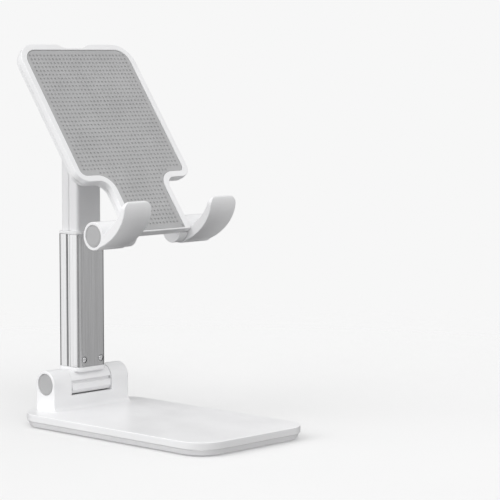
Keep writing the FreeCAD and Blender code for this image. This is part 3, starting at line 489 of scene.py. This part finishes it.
def make_ear(side):
    """An ear, round on top and square below, with the seat of its cap."""
    outline = ear_outline()
    middle = Vector((HINGE.y, HINGE.z))
    seat = CAP_RADIUS + 0.06
    chamfer = 0.12

    def round_hole(radius, x):
        loop = [middle + (point - middle).normalized() * radius for point in outline]
        return lift(loop, x, along_x)

    rings = []
    for inward, along in edge_steps(0.25):
        rings.append(lift(inset(outline, inward), side * (EAR_INSIDE + along), along_x))
    for inward, along in reversed(edge_steps(0.5, 4)):
        rings.append(lift(inset(outline, inward), side * (EAR_OUTSIDE - along), along_x))
    rings.append(round_hole(seat + chamfer, side * EAR_OUTSIDE))
    rings.append(round_hole(seat, side * (EAR_OUTSIDE - chamfer)))
    rings.append(round_hole(seat, side * (EAR_OUTSIDE - CAP_DEPTH)))
    return stacked(rings)


def make_wall():
    """The wall between the ears, with a trough for the knuckle, low in front and high behind."""
    front = HINGE.y - EAR_RADIUS
    back = HINGE.y + EAR_RADIUS
    middle = (HINGE.y, HINGE.z)
    sill = -4.9
    # The trough's radius is wide round the front tab and close behind it, and steps between the two
    wide, close = 6.4, 5.62
    first = math.degrees(math.atan2(sill, -math.sqrt(wide**2 - sill**2))) % 360
    wide_end, close_start, last = 284, 290, 344
    trough = arc(middle, wide, first, wide_end, 12) + arc(middle, close, close_start, last, 10)
    top_behind = HINGE.z + close * math.sin(math.radians(last))
    nick, sunk, soft = 0.05, 0.5, 0.2
    outline = trough + [Vector((back - nick, top_behind)), Vector((back, top_behind - nick))]
    outline += [Vector((back, BASE_TOP - sunk)), Vector((front, BASE_TOP - sunk))]
    outline += arc((front + soft, HINGE.z + sill - soft), soft, 180, 90, 3)
    into_ear = 0.4
    reach = EAR_INSIDE + into_ear
    return slab(outline, -reach, reach, along_x, low_edge=0)


def make_block_foot():
    """The hollow curve by which the hinge block's front flows into the base's top."""
    radius = 2.0
    sunk = 0.5
    overlap = 0.01
    front = HINGE.y - EAR_RADIUS
    hollow = arc((front - radius + overlap, BASE_TOP + radius - overlap), radius, 0, -90, 10)
    outline = [
        Vector((front - radius, BASE_TOP - sunk)),
        Vector((front + sunk, BASE_TOP - sunk)),
        Vector((front + sunk, BASE_TOP + radius - overlap)),
        *hollow,
    ]
    reach = EAR_OUTSIDE - 0.02
    return slab(outline, -reach, reach, along_x, low_edge=0)


def make_cap(name, body, side, outside, centre, place=HERE):
    """A press-in disc: a soft outer edge, a shallow groove near it and a very slightly crowned middle."""
    inner = outside - CAP_DEPTH + 0.05
    edge = CAP_RADIUS - 0.05
    profile = [
        (edge, inner),
        (edge, outside - 0.28),
        (edge - 0.06, outside - 0.16),
        (edge - 0.2, outside - 0.1),
        (edge - 0.42, outside - 0.1),
        (edge - 0.5, outside - 0.16),
        (edge - 0.62, outside - 0.16),
        (edge - 0.7, outside - 0.08),
        (edge * 0.5, outside - 0.04),
        (0.3, outside - 0.03),
    ]
    cap = to_object(turned([(radius, side * at) for radius, at in profile], centre, along_x), name + "_disc")
    finish(cap, body, GREY, [name], place)


def make_feet():
    """Four soft feet with rounded edges and a shallow ring."""
    meshes = []
    foot_radius = 4.95
    inward = 5
    low, high = node_box("base_feet")
    for x in (low.x + inward, high.x - inward):
        for y in (low.y + inward, high.y - inward):
            profile = [
                (foot_radius, high.z),
                (foot_radius, 0.22),
                (foot_radius - 0.07, 0.07),
                (foot_radius - 0.22, 0),
                (3.4, 0),
                (3.25, 0.12),
                (2.9, 0.12),
                (2.75, 0),
                (0.4, 0),
            ]
            meshes.append(turned(profile, (x, y), along_z, steps=48))
    finish(joined("soft_feet", meshes), "base", RUBBER, ["base_feet"])


# The arm


def make_knuckle():
    """The barrel between the ears, with its grooved front tab, the tongue behind and the sleeve's seat."""
    side_gap = 0.15
    half = EAR_INSIDE - side_gap
    radius = 5.45
    middle = (HINGE.y, HINGE.z)
    ends = [(radius - inward, along) for inward, along in edge_steps(0.35)]
    profile = [(r, -half + at) for r, at in ends] + [(r, half - at) for r, at in reversed(ends)]
    knuckle = to_object(turned(profile, middle, along_x, steps=96), "knuckle")
    # The tab, the tongue and the groove are drawn as (back, up) from the hinge axis
    tab = [(-2.6, -0.2, 0), (-5.3, -0.2, 0.45), (-5.4, -2.7, 0.6), (-4.2, -4.4, 0.3), (-2.6, -4.4, 0)]
    tab_loop = rounded([(HINGE.y + y, HINGE.z + z, r) for y, z, r in reversed(tab)], 4)
    tab_half = half - 0.35
    tongue = ((2.0, -1.2), (5.3, -1.2), (5.3, 5.0), (2.0, 5.0))
    tongue_loop = [HINGE.yz + Vector(spot) for spot in tongue]
    tongue_half = 8.9
    add = [
        slab(tab_loop, -tab_half, tab_half, along_x, 0.2),
        slab(tongue_loop, -tongue_half, tongue_half, along_x, 0.5),
        make_sleeve_seat(),
    ]
    combine(knuckle, add, "UNION")
    groove = ((-8.0, -0.3), (-4.6, -0.3), (-4.2, 0.0), (-4.2, 0.7), (-4.5, 1.1), (-8.0, 1.3))
    groove_loop = [HINGE.yz + Vector(spot) for spot in groove]
    combine(knuckle, [slab(groove_loop, -half - 1, half + 1, along_x, 0)], "DIFFERENCE")
    finish(knuckle, "arm", WHITE, ["lower_knuckle"])


def make_sleeve_seat():
    """The rounded block under the sleeve and the plug inside it."""
    low = HINGE.z + 4.1
    gap = 0.02
    high = SLEEVE_LOW.z - gap
    width = SLEEVE_SIZE.x + 0.35
    depth = SLEEVE_SIZE.y + 0.25
    plan = rounded_rectangle(width, depth, SLEEVE_CORNER + 0.1, (0, SLEEVE_MIDDLE.y))
    rings = []
    for inward, along in edge_steps(0.8, 4):
        rings.append(lift(inset(plan, inward), low + along, along_z))
    for inward, along in reversed(edge_steps(0.25)):
        rings.append(lift(inset(plan, inward), high - along, along_z))
    plug_inset, plug_height = 0.98, 6
    plug = inset(plan, plug_inset)
    rings.append(lift(plug, high, along_z))
    rings.append(lift(plug, high + plug_height, along_z))
    return stacked(rings)


def grooved_rectangle(width, depth, radius, centre_y, groove):
    """A rounded rectangle with a soft groove, of the given depth, in each narrow side."""
    half, deep = width / 2, depth / 2
    floor, floor_corner, soft = 0.35, 0.3, 0.75
    rim = floor + 1.1 * groove
    right = [
        (half, -deep, radius),
        (half, -rim, soft),
        (half - groove, -floor, floor_corner),
        (half - groove, floor, floor_corner),
        (half, rim, soft),
        (half, deep, radius),
    ]
    left = [(-x, -y, r) for x, y, r in right]
    return rounded([(x, y + centre_y, r) for x, y, r in right + left], 6)


def make_sleeve():
    """The metal sleeve, with grooved sides, screw holes and a window for the collar's tab."""
    plan = grooved_rectangle(SLEEVE_SIZE.x, SLEEVE_SIZE.y, SLEEVE_CORNER, SLEEVE_MIDDLE.y, SLEEVE_GROOVE)
    low, high = SLEEVE_LOW.z, SLEEVE_HIGH.z
    wall, nick = 0.7, 0.1
    levels = [
        (nick, low),
        (0, low + nick),
        (0, high - nick),
        (nick, high),
        (wall - nick, high),
        (wall, high - nick),
        (wall, low + nick),
        (wall - nick, low),
    ]
    rings = [lift(inset(plan, inward), z, along_z) for inward, z in levels]
    sleeve = to_object(stacked(rings, closed=True), "sleeve")
    cutters = []
    for x, y, z in screw_spots():
        cutters.append(turned([(SCREW_HOLE, y - 1), (SCREW_HOLE, y + 1)], (x, z), from_front, 32))
    window = rounded_rectangle(WINDOW_WIDTH, WINDOW_HEIGHT, 0.5, (0, high - WINDOW_DROP), 4)
    cutters.append(slab(window, SLEEVE_HIGH.y - 1.2, SLEEVE_HIGH.y + 1, from_front, 0))
    combine(sleeve, cutters, "DIFFERENCE")
    finish(sleeve, "arm", METAL, ["outer_tube"])


def screw_spots():
    """The places of the four screws, two on the front and two on the back."""
    height = SLEEVE_LOW.z + SCREW_RISE
    faces = (SLEEVE_LOW.y, SLEEVE_HIGH.y)
    return [(side * SCREW_SPREAD, y, height) for side in (-1, 1) for y in faces]


def make_sleeve_screws():
    """Small domed screws with a six-sided socket."""
    # Each is drawn as (radius, height above the sleeve's face)
    dome = [(0.8, -1.6), (1.05, -0.6), (1.05, -0.14), (0.92, 0.0), (0.7, 0.08), (0.52, 0.1)]
    socket = [(0.45, 0.06), (0.42, -0.3)]
    steps = 36
    meshes = []
    for x, y, z in screw_spots():
        out = -1 if y < SLEEVE_MIDDLE.y else 1
        rings = [lift(circle((x, z), radius, steps), y + out * at, from_front) for radius, at in dome]
        for radius, at in socket:
            rings.append(lift(hexagon((x, z), radius, steps), y + out * at, from_front))
        meshes.append(stacked(rings))
    finish(joined("sleeve_screws", meshes), "arm", STEEL, ["knuckle_screws"])


def make_collar():
    """The moulded bush that guides the post, with the tab that shows in the sleeve's window."""
    width, depth = SLEEVE_SIZE.x - 0.1, SLEEVE_SIZE.y - 0.1
    outside = rounded_rectangle(width, depth, SLEEVE_CORNER, (0, SLEEVE_MIDDLE.y))
    gap = 0.2
    inside = rounded_rectangle(POST_WIDTH + 2 * gap, POST_DEPTH + 2 * gap, POST_CORNER + gap, (0, POST_Y))
    skirt_low = SLEEVE_HIGH.z - 6
    skirt = inset(outside, 0.75)
    top = COLLAR_TOP
    rings = [
        lift(inside, skirt_low, along_z),
        lift(skirt, skirt_low, along_z),
        lift(skirt, SLEEVE_HIGH.z + 0.02, along_z),
        lift(inset(outside, 0.12), SLEEVE_HIGH.z + 0.02, along_z),
        lift(outside, SLEEVE_HIGH.z + 0.12, along_z),
    ]
    for inward, along in reversed(edge_steps(0.35)):
        rings.append(lift(inset(outside, inward), top - along, along_z))
    rings.append(lift(inset(inside, -0.25), top, along_z))
    rings.append(lift(inside, top - 0.2, along_z))
    collar = to_object(stacked(rings, closed=True), "post_guide")
    tab_gap = 0.3
    middle = (0, SLEEVE_HIGH.z - WINDOW_DROP)
    tab = rounded_rectangle(WINDOW_WIDTH - tab_gap, WINDOW_HEIGHT - tab_gap, 0.4, middle, 4)
    combine(collar, [slab(tab, SLEEVE_HIGH.y - 1.0, SLEEVE_HIGH.y - 0.08, from_front, 0, 0.12)], "UNION")
    finish(collar, "arm", WHITE, ["tube_collar"])


# The post and its cross barrel


def make_post():
    """The post with its neck, its cross barrel and the slot for the plate's lug."""
    plan = grooved_rectangle(POST_WIDTH, POST_DEPTH, POST_CORNER, POST_Y, POST_GROOVE)
    low = POST_BOTTOM
    rings = [lift(inset(plan, inward), low + along, along_z) for inward, along in edge_steps(0.3)]
    rings.append(lift(plan, TILT.z - 9.5, along_z))
    rings.append(lift(plan, TILT.z - 0.3, along_z))
    post = to_object(stacked(rings), "post")
    add = [make_barrel(), make_neck_fillet()]
    combine(post, add, "UNION")
    combine(post, [make_lug_slot()], "DIFFERENCE")
    finish(post, "post", WHITE, ["inner_tube"])


def make_barrel():
    """The cross barrel: rounded ends, a raised rim at each and a seat for its disc."""
    middle = (TILT.y, TILT.z)
    radius, half = BARREL_RADIUS, BARREL_HALF
    seat = BARREL_DISC_RADIUS + 0.05
    end = [(seat, half - 1.0), (seat, half - 0.1), (seat + 0.1, half)]
    end += [(radius - inward, half - along) for inward, along in edge_steps(0.7, 4)]
    profile = end + [(r, -at) for r, at in reversed(end)]
    return turned(profile, middle, along_x, steps=96)


def make_neck_fillet():
    """The post widens smoothly into the barrel."""
    rings = []
    radius, sunk, steps = 1.6, 0.6, 6
    slightly_less = 0.04
    for k in range(steps + 1):
        turn = math.pi / 2 * k / steps
        outward = radius * (1 - math.cos(turn))
        height = TILT.z - BARREL_RADIUS - radius * (1 - math.sin(turn)) + sunk
        width = POST_WIDTH - slightly_less + 2 * outward
        depth = POST_DEPTH - slightly_less - 3 * outward
        rings.append(lift(rounded_rectangle(width, depth, POST_CORNER, (0, POST_Y)), height, along_z))
    rings.append(lift(rounded_rectangle(POST_WIDTH, 5, POST_CORNER, (0, POST_Y)), TILT.z - 2.5, along_z))
    return stacked(rings)


def make_lug_slot():
    """The slot in front of the barrel in which the plate's lug turns."""
    # The slot's two sides, and the room in front of it, as (back, up) from the tilt axis
    upper_side, lower_side = (3.75, 9.27), (-8.48, -5.3)
    wedge = [upper_side, (-12.0, 12.0), (-12.0, 0.0), lower_side]
    low = math.degrees(math.atan2(lower_side[1], lower_side[0])) % 360
    high = math.degrees(math.atan2(upper_side[1], upper_side[0]))
    outline = [Vector((TILT.y + y, TILT.z + z)) for y, z in wedge]
    outline += arc((TILT.y, TILT.z), LUG_RADIUS + 0.35, low, high + 360, 24)
    half = LUG_HALF + 0.5
    return slab(outline, -half, half, along_x, 0)


def make_barrel_disc(name, side):
    """The disc that closes one end of the cross barrel."""
    middle = (TILT.y, TILT.z)
    outside = BARREL_HALF
    edge = BARREL_DISC_RADIUS
    profile = [
        (edge, outside - 1),
        (edge, outside - 0.35),
        (edge - 0.15, outside - 0.2),
        (0.4, outside - 0.16),
    ]
    disc = to_object(turned([(r, side * at) for r, at in profile], middle, along_x), name + "_disc")
    finish(disc, "post", WHITE, [name])


# The plate


def plate_outline(inward, bottom=PLATE_BOTTOM, dip=0.0, foot=0.3):
    """The plate's outline, drawn in, with a finger notch of depth dip in its top edge."""
    half = PLATE_HALF - inward
    neck = NECK_HALF - inward
    top = PLATE_TOP - inward
    shoulder = PLATE_SHOULDER + inward
    # The radius grows with inward at a hollow corner and shrinks at a full one
    hollow, lower, upper = 4.5 + inward, 5.5 - inward, 9.0 - inward
    right = [(neck, bottom, foot), (neck, shoulder, hollow), (half, shoulder, lower), (half, top, upper)]
    left = [(-x, z, radius) for x, z, radius in reversed(right)]
    steps = 10
    points = rounded(right + left, steps)
    at = len(right) * (steps + 1)
    return points[:at] + notch_points(top, dip) + points[at:]


def notch_points(top, dip):
    """The top edge from right to left, sinking smoothly to the notch's flat floor."""
    outer, inner, steps = 9.4, 3.6, 12
    ramp = []
    for k in range(steps + 1):
        share = k / steps
        smooth = share * share * (3 - 2 * share)
        ramp.append(Vector((outer + (inner - outer) * share, top - dip * smooth)))
    return ramp + [Vector((-point.x, point.y)) for point in reversed(ramp)]


def make_front_frame():
    """The tray that holds the pad: an even border on three sides and a narrow sill below."""
    outside = plate_outline(0, dip=NOTCH_DIP)
    sill, gap, nick, soft = 0.7, 0.02, 0.12, 0.15
    inside = plate_outline(FRAME_BORDER, bottom=PLATE_BOTTOM + sill)
    rings = [
        lift(inset(outside, nick), FRAME_BACK + gap, towards_pad),
        lift(outside, FRAME_BACK + gap + nick, towards_pad),
    ]
    for inward, along in reversed(edge_steps(0.3)):
        rings.append(lift(inset(outside, inward), FRAME_FRONT - along, towards_pad))
    rings.append(lift(inset(inside, -soft), FRAME_FRONT, towards_pad))
    rings.append(lift(inside, FRAME_FRONT - soft, towards_pad))
    rings.append(lift(inside, PAD_FACE - PAD_THICKNESS, towards_pad))
    made = to_object(stacked(rings), "frame")
    finish(made, "plate", WHITE, ["front_frame"], ON_PLATE)


def make_back_shell():
    """The back shell: its sloping border, the fairing over the barrel, the lug and the hooks' collars."""
    inward = 0.4
    outline = plate_outline(inward, bottom=PLATE_BOTTOM + inward, dip=NOTCH_DIP, foot=2.0)
    levels = [
        (0.5, FRAME_BACK),
        (0.5, FRAME_BACK - 0.28),
        (0.1, FRAME_BACK - 0.34),
        (0, FRAME_BACK - 0.44),
        (0, 7.45),
        (0.12, 7.1),
        (0.5, 6.75),
        (1.35, 6.16),
        (1.75, SHELL_BACK),
    ]
    rings = [lift(inset(outline, further), at, towards_pad) for further, at in levels]
    shell = to_object(stacked(rings), "shell")
    combine(shell, [make_fairing(), make_lug(), make_hook_collar(1), make_hook_collar(-1)], "UNION")
    finish(shell, "plate", WHITE, ["back_shell"], ON_PLATE)


def make_fairing():
    """The wedge that grows out of the plate's back and ends in a rounded ridge over the barrel."""
    inside_shell = -SHELL_BACK - 2
    gap = 0.4
    hollow = arc((0, 0), BARREL_RADIUS + gap, 158, 97, 10)
    top = 21.0
    ridge = [
        (hollow[-1].x, hollow[-1].y, 0),
        (-0.9, 8.6, 1.6),
        (-SHELL_BACK, 19.0, 6.0),
        (-SHELL_BACK - 0.05, top, 0),
        (inside_shell, top, 0),
    ]
    loop = [Vector((inside_shell, hollow[0].y)), *hollow[:-1]]
    loop += rounded(ridge, 8)
    return slab(loop, -BARREL_HALF, BARREL_HALF, along_x, 0.5)


def make_lug():
    """The plate's lug: an eye round the tilt axis, on a web that stands on the shell."""
    into_shell = -SHELL_BACK - 1
    web_half = 2.2
    web = [
        Vector((into_shell, -web_half)),
        *arc((0, 0), LUG_RADIUS, 212, 508, 40),
        Vector((into_shell, web_half)),
    ]
    return slab(web, -LUG_HALF, LUG_HALF, along_x, 0.2)


def make_hook_collar(side):
    """The short round collar on the neck's end that carries a hook, flat where it meets the frame."""
    middle = (-HOOK_FORWARD, -HOOK_DROP)
    radius = 5.2
    outer, inner = 16.1, 11.8
    flat = 0.3 - FRAME_BACK
    loop = [point for point in circle(middle, radius, 96) if point.x > flat]
    low, high = (inner, outer) if side > 0 else (-outer, -inner)
    return slab(loop, low, high, along_x, 0.35)


DIMPLE_SIDES = 10


def make_pad():
    """The silicone pad. Its face is one sheet with a grid of round dimples pressed into it."""
    outline = plate_outline(FRAME_BORDER + 0.15, bottom=PLATE_BOTTOM + 0.85)
    edge = 0.12
    face_loop = inset(outline, edge)
    pitch, radius, depth = 1.9, 0.6, 0.42
    margin = 0.25
    spots = dimple_spots(inset(outline, radius + margin), pitch)
    wells = [circle(spot, radius, DIMPLE_SIDES) for spot in spots]
    points = list(face_loop)
    loops = [list(range(len(face_loop)))]
    for well in wells:
        loops.append(list(range(len(points), len(points) + len(well))))
        points += well
    edges = [(loop[i - 1], loop[i]) for loop in loops for i in range(len(loop))]
    flat, _, faces, _, _, _ = geometry.delaunay_2d_cdt(points, edges, [], 2, 1e-5)
    mesh = bmesh.new()
    verts = [mesh.verts.new(towards_pad(point.x, point.y, PAD_FACE)) for point in flat]
    spot_in = {grid_cell(spot, pitch): spot for spot in spots}
    for face in faces:
        middle = sum((Vector(flat[i]) for i in face), Vector((0, 0))) / len(face)
        spot = spot_in.get(grid_cell(middle, pitch))
        if spot and (spot - middle).length < radius * 0.93:
            continue
        mesh.faces.new([verts[i] for i in face])
    add_wells(mesh, depth)
    add_pad_sides(mesh, outline, edge)
    bmesh.ops.recalc_face_normals(mesh, faces=mesh.faces)
    pad = to_object(mesh, "pad")
    finish(pad, "plate", RUBBER, ["silicone_pad"], ON_PLATE)


def grid_cell(point, pitch):
    return (math.floor(point[0] / pitch), math.floor(point[1] / pitch))


def dimple_spots(limit, pitch):
    """The middles of the grid's cells that lie inside a loop."""
    spots = []
    reach = 40
    for column in range(-reach, reach):
        for row in range(-reach, reach):
            spot = Vector(((column + 0.5) * pitch, (row + 0.5) * pitch))
            if inside(spot, limit):
                spots.append(spot)
    return spots


def inside(point, loop):
    crossings = 0
    for i, end in enumerate(loop):
        start = loop[i - 1]
        if (start.y > point.y) != (end.y > point.y):
            across = start.x + (point.y - start.y) * (end.x - start.x) / (end.y - start.y)
            crossings += across > point.x
    return crossings % 2 == 1


def add_wells(mesh, depth):
    """Each round hole in the face gets a rounded bottom."""
    rims = [edge for edge in mesh.edges if edge.is_boundary]
    floors = bmesh.ops.holes_fill(mesh, edges=rims, sides=DIMPLE_SIDES)["faces"]
    for inward, share in ((0.12, 0.7), (0.24, 0.3)):
        bmesh.ops.inset_individual(mesh, faces=floors, thickness=inward, depth=-depth * share)


def add_pad_sides(mesh, outline, edge_drop):
    """The pad's slanted edge, its upright sides and its back, hung from the rim of its face."""
    loop = ordered([edge for edge in mesh.edges if edge.is_boundary])
    rings = [loop]
    near = [nearest(outline, Vector((vert.co.x, vert.co.z))) for vert in loop]
    for at in (PAD_FACE - edge_drop, PAD_FACE - PAD_THICKNESS):
        rings.append([mesh.verts.new(towards_pad(point.x, point.y, at)) for point in near])
    for upper, lower in zip(rings, rings[1:]):
        for i in range(len(loop)):
            mesh.faces.new((upper[i - 1], upper[i], lower[i], lower[i - 1]))
    mesh.faces.new(rings[-1])


def nearest(loop, place):
    return min(loop, key=lambda point: (point - place).length)


def ordered(edges):
    """The corners of a closed chain of edges, in order."""
    start = edges[0].verts[0]
    chain = [start]
    edge = edges[0]
    following = edge.other_vert(start)
    chosen = set(edges)
    while following is not start:
        chain.append(following)
        edge = next(e for e in following.link_edges if e in chosen and e is not edge)
        following = edge.other_vert(following)
    return chain


# The hooks


def curve(start, first, second, end, steps):
    """A Bezier curve through a start and an end on the hook, drawn as (towards the pad, up) from its axis."""
    ends = [Vector((0, -HOOK_FORWARD - out, up - HOOK_DROP)) for out, up in (start, first, second, end)]
    return geometry.interpolate_bezier(*ends, steps)


def make_hook_arm(side):
    """The hook's floor and lip: a bent bar with soft edges, its lip's corners well rounded."""
    fine = 80
    outer = curve((-0.5, -5.3), (7.0, -7.8), (18.6, -7.0), (HOOK_REACH - 0.1, 0.6), fine)
    inner = curve((3.4, -2.6), (10.0, -2.4), (16.4, -3.2), (HOOK_REACH - 1.3, 1.4), fine)
    middle = side * (HOOK_INSIDE + HOOK_OUTSIDE) / 2
    width = HOOK_OUTSIDE - HOOK_INSIDE - 0.04
    corner, edge = 3.6, 0.3
    tip = (outer[-1] - inner[-1]).length / 2
    forward = (outer[-1] - outer[-2]).normalized()

    def ring(low, high, to_end):
        narrow = 0
        if to_end < corner:
            narrow = corner - math.sqrt(corner**2 - (corner - to_end) ** 2)
        thick = (high - low).length
        soft = min(edge, 0.45 * thick)
        loop = rounded_rectangle(width - 2 * narrow, thick, soft, (middle, thick / 2), 4)
        step = (high - low).normalized()
        return [Vector((point.x, 0, 0)) + low + step * point.y for point in loop]

    rings = []
    steps = 32
    for k in range(steps + 1):
        at = round((fine - 1) * math.sin(math.pi / 2 * k / steps))
        to_end = (outer[at] - outer[-1]).length + tip
        rings.append(ring(outer[at], inner[at], to_end))
    for inward, along in reversed(edge_steps(tip, 5)[1:]):
        step = (inner[-1] - outer[-1]).normalized() * (inward * 0.95)
        ahead = forward * (tip - along)
        rings.append(ring(outer[-1] + step + ahead, inner[-1] - step + ahead, along))
    return stacked(rings)


def make_hook(side_name, side):
    """A hook: the round body on its pin, the arm that holds the phone and the seat of its cap."""
    middle = (-HOOK_FORWARD, -HOOK_DROP)
    outer = [(HOOK_RADIUS - inward, HOOK_OUTSIDE - along) for inward, along in edge_steps(0.25)]
    inner = [(HOOK_RADIUS - inward, HOOK_INSIDE + along) for inward, along in reversed(edge_steps(0.25))]
    barrel = [(radius, side * at) for radius, at in outer + inner]
    hook = to_object(turned(barrel, middle, along_x, steps=96), side_name + "_hook_body")
    combine(hook, [make_hook_arm(side)], "UNION")
    seat = CAP_RADIUS + 0.02
    mouth = seat + 0.15
    bore = [
        (seat, HOOK_OUTSIDE - CAP_DEPTH),
        (seat, HOOK_OUTSIDE - 0.1),
        (mouth, HOOK_OUTSIDE + 0.05),
        (mouth, HOOK_OUTSIDE + 1),
    ]
    combine(hook, [turned([(radius, side * at) for radius, at in bore], middle, along_x)], "DIFFERENCE")
    finish(hook, side_name + "_hook", WHITE, ["hook_" + side_name], ON_PLATE)


# Putting it together

make_base()
for side_name, side in (("left", -1), ("right", 1)):
    make_cap("base_cap_" + side_name, "base", side, EAR_OUTSIDE, (HINGE.y, HINGE.z))
    make_barrel_disc("tilt_cap_" + side_name, side)
    make_hook(side_name, side)
    on_hook = (-HOOK_FORWARD, -HOOK_DROP)
    make_cap("hook_cap_" + side_name, side_name + "_hook", side, HOOK_OUTSIDE, on_hook, ON_PLATE)
make_feet()
make_knuckle()
make_sleeve()
make_sleeve_screws()
make_collar()
make_post()
make_front_frame()
make_back_shell()
make_pad()

slot_of = {sub["node"]: sub["material_slot"] for sub in frame["record"]["subparts"]}
for name, item in frame["nodes"].items():
    item.data.materials.clear()
    item.data.materials.append(MATERIALS[slot_of[name]])


# The studio


def make_floor():
    """A pale sheet that fades out into the surround, so that little of a horizon shows."""
    radius, fade_start, fade_end = 1000, 120, 450
    mesh = bmesh.new()
    bmesh.ops.create_circle(mesh, cap_ends=True, segments=96, radius=radius)
    floor = to_object(mesh, "floor")
    nodes = Nodes("pale_floor")
    nodes.colour(nodes.noise(0.004, 2), (0.85, 0.85, 0.85), (0.87, 0.87, 0.87))
    nodes.shader.inputs["Roughness"].default_value = 0.9
    nodes.shader.inputs["Specular IOR Level"].default_value = 0.1
    distance = nodes.add("VectorMath", operation="LENGTH")
    nodes.link(nodes.coordinates(), distance.inputs[0])
    fade = nodes.add("MapRange", interpolation_type="SMOOTHSTEP")
    fade.inputs["From Min"].default_value = fade_start
    fade.inputs["From Max"].default_value = fade_end
    fade.inputs["To Min"].default_value = 1
    fade.inputs["To Max"].default_value = 0
    nodes.link(distance.outputs["Value"], fade.inputs["Value"])
    nodes.link(fade.outputs["Result"], nodes.shader.inputs["Alpha"])
    floor.data.materials.append(nodes.material)
    floor.visible_diffuse = False
    floor.visible_glossy = False
    floor.visible_shadow = False


def make_sun(name, towards, strength, spread):
    """A soft light that shines from a direction, its spread in degrees."""
    data = bpy.data.lights.new(name, "SUN")
    data.energy = strength
    data.angle = math.radians(spread)
    light = bpy.data.objects.new(name, data)
    light.rotation_euler = Vector(towards).to_track_quat("Z", "Y").to_euler()
    bpy.context.scene.collection.objects.link(light)


def make_camera():
    """The photograph's viewpoint, in metres, from a fit of the stand's known points."""
    place = (-0.58976, -0.60697, 0.15186)
    data = bpy.data.cameras.new("camera")
    data.sensor_width = 36
    data.lens = 153.26
    data.clip_end = 50
    camera = bpy.data.objects.new("camera", data)
    forward = Vector((0.72334, 0.68431, -0.09219)).normalized()
    up = Vector((0.06697, 0.06335, 0.99574))
    right = forward.cross(up).normalized()
    up = right.cross(forward)
    turn = Matrix((right, up, -forward)).transposed().to_4x4()
    camera.matrix_world = Matrix.Translation(place) @ turn
    bpy.context.scene.collection.objects.link(camera)
    bpy.context.scene.camera = camera


PALE = 0.93
BRIGHT_SIDE = (-0.15, 0.1, 0.95)
# Each card's direction, and the cosines where it starts and where it is full
DARK_CARDS = (((-0.72, -0.69, 0.05), 0.95, 0.985), ((0.3, 0.95, -0.02), 0.78, 0.9))
CARD_LEVEL = 0.2
# Each sun's direction, strength and spread in degrees
SUNS = {
    "key": ((-0.75, 0.2, 0.6), 0.7, 50),
    "rim": ((-0.9, 0.42, 0.03), 0.6, 70),
    "fill": ((0.72, -0.68, -0.06), 0.27, 60),
    "low": ((-0.35, -0.93, -0.02), 0.2, 60),
    "front": ((-0.35, -0.55, 0.75), 0.6, 40),
    "table": ((0, 0, -1), 1.3, 20),
}


class Sky:
    """The surround's brightness by direction, built up from soft steps."""

    def __init__(self):
        self.world = bpy.data.worlds.new("studio")
        self.world.use_nodes = True
        self.tree = self.world.node_tree
        self.direction = self.add("TexCoord").outputs["Generated"]

    def add(self, kind):
        return self.tree.nodes.new("ShaderNode" + kind)

    def step(self, towards, start, end, low, high):
        """From low to high as a direction turns towards the given one, its cosine going from start to end."""
        facing = self.add("VectorMath")
        facing.operation = "DOT_PRODUCT"
        facing.inputs[1].default_value = towards
        self.tree.links.new(self.direction, facing.inputs[0])
        level = self.add("MapRange")
        level.interpolation_type = "SMOOTHSTEP"
        for name, value in zip(("From Min", "From Max", "To Min", "To Max"), (start, end, low, high)):
            level.inputs[name].default_value = value
        self.tree.links.new(facing.outputs["Value"], level.inputs["Value"])
        return level.outputs["Result"]

    def times(self, first, second):
        product = self.add("Math")
        product.operation = "MULTIPLY"
        self.tree.links.new(first, product.inputs[0])
        self.tree.links.new(second, product.inputs[1])
        return product.outputs["Value"]


def make_world():
    """A soft surround, brightest above, with two dark cards. The camera sees it plain and pale."""
    sky = Sky()
    level = sky.step(BRIGHT_SIDE, start=-0.42, end=0.18, low=0.07, high=0.8)
    for towards, start, full in DARK_CARDS:
        level = sky.times(level, sky.step(Vector(towards).normalized(), start, full, 1.0, CARD_LEVEL))
    seen = sky.add("LightPath")
    backdrop = sky.add("Mix")
    backdrop.inputs["B"].default_value = PALE
    sky.tree.links.new(level, backdrop.inputs["A"])
    sky.tree.links.new(seen.outputs["Is Camera Ray"], backdrop.inputs["Factor"])
    sky.tree.links.new(backdrop.outputs["Result"], sky.tree.nodes["Background"].inputs["Color"])
    bpy.context.scene.world = sky.world


bpy.context.scene.view_settings.view_transform = "Standard"
make_floor()
make_world()
make_camera()
for name, (towards, strength, spread) in SUNS.items():
    make_sun(name, towards, strength, spread)
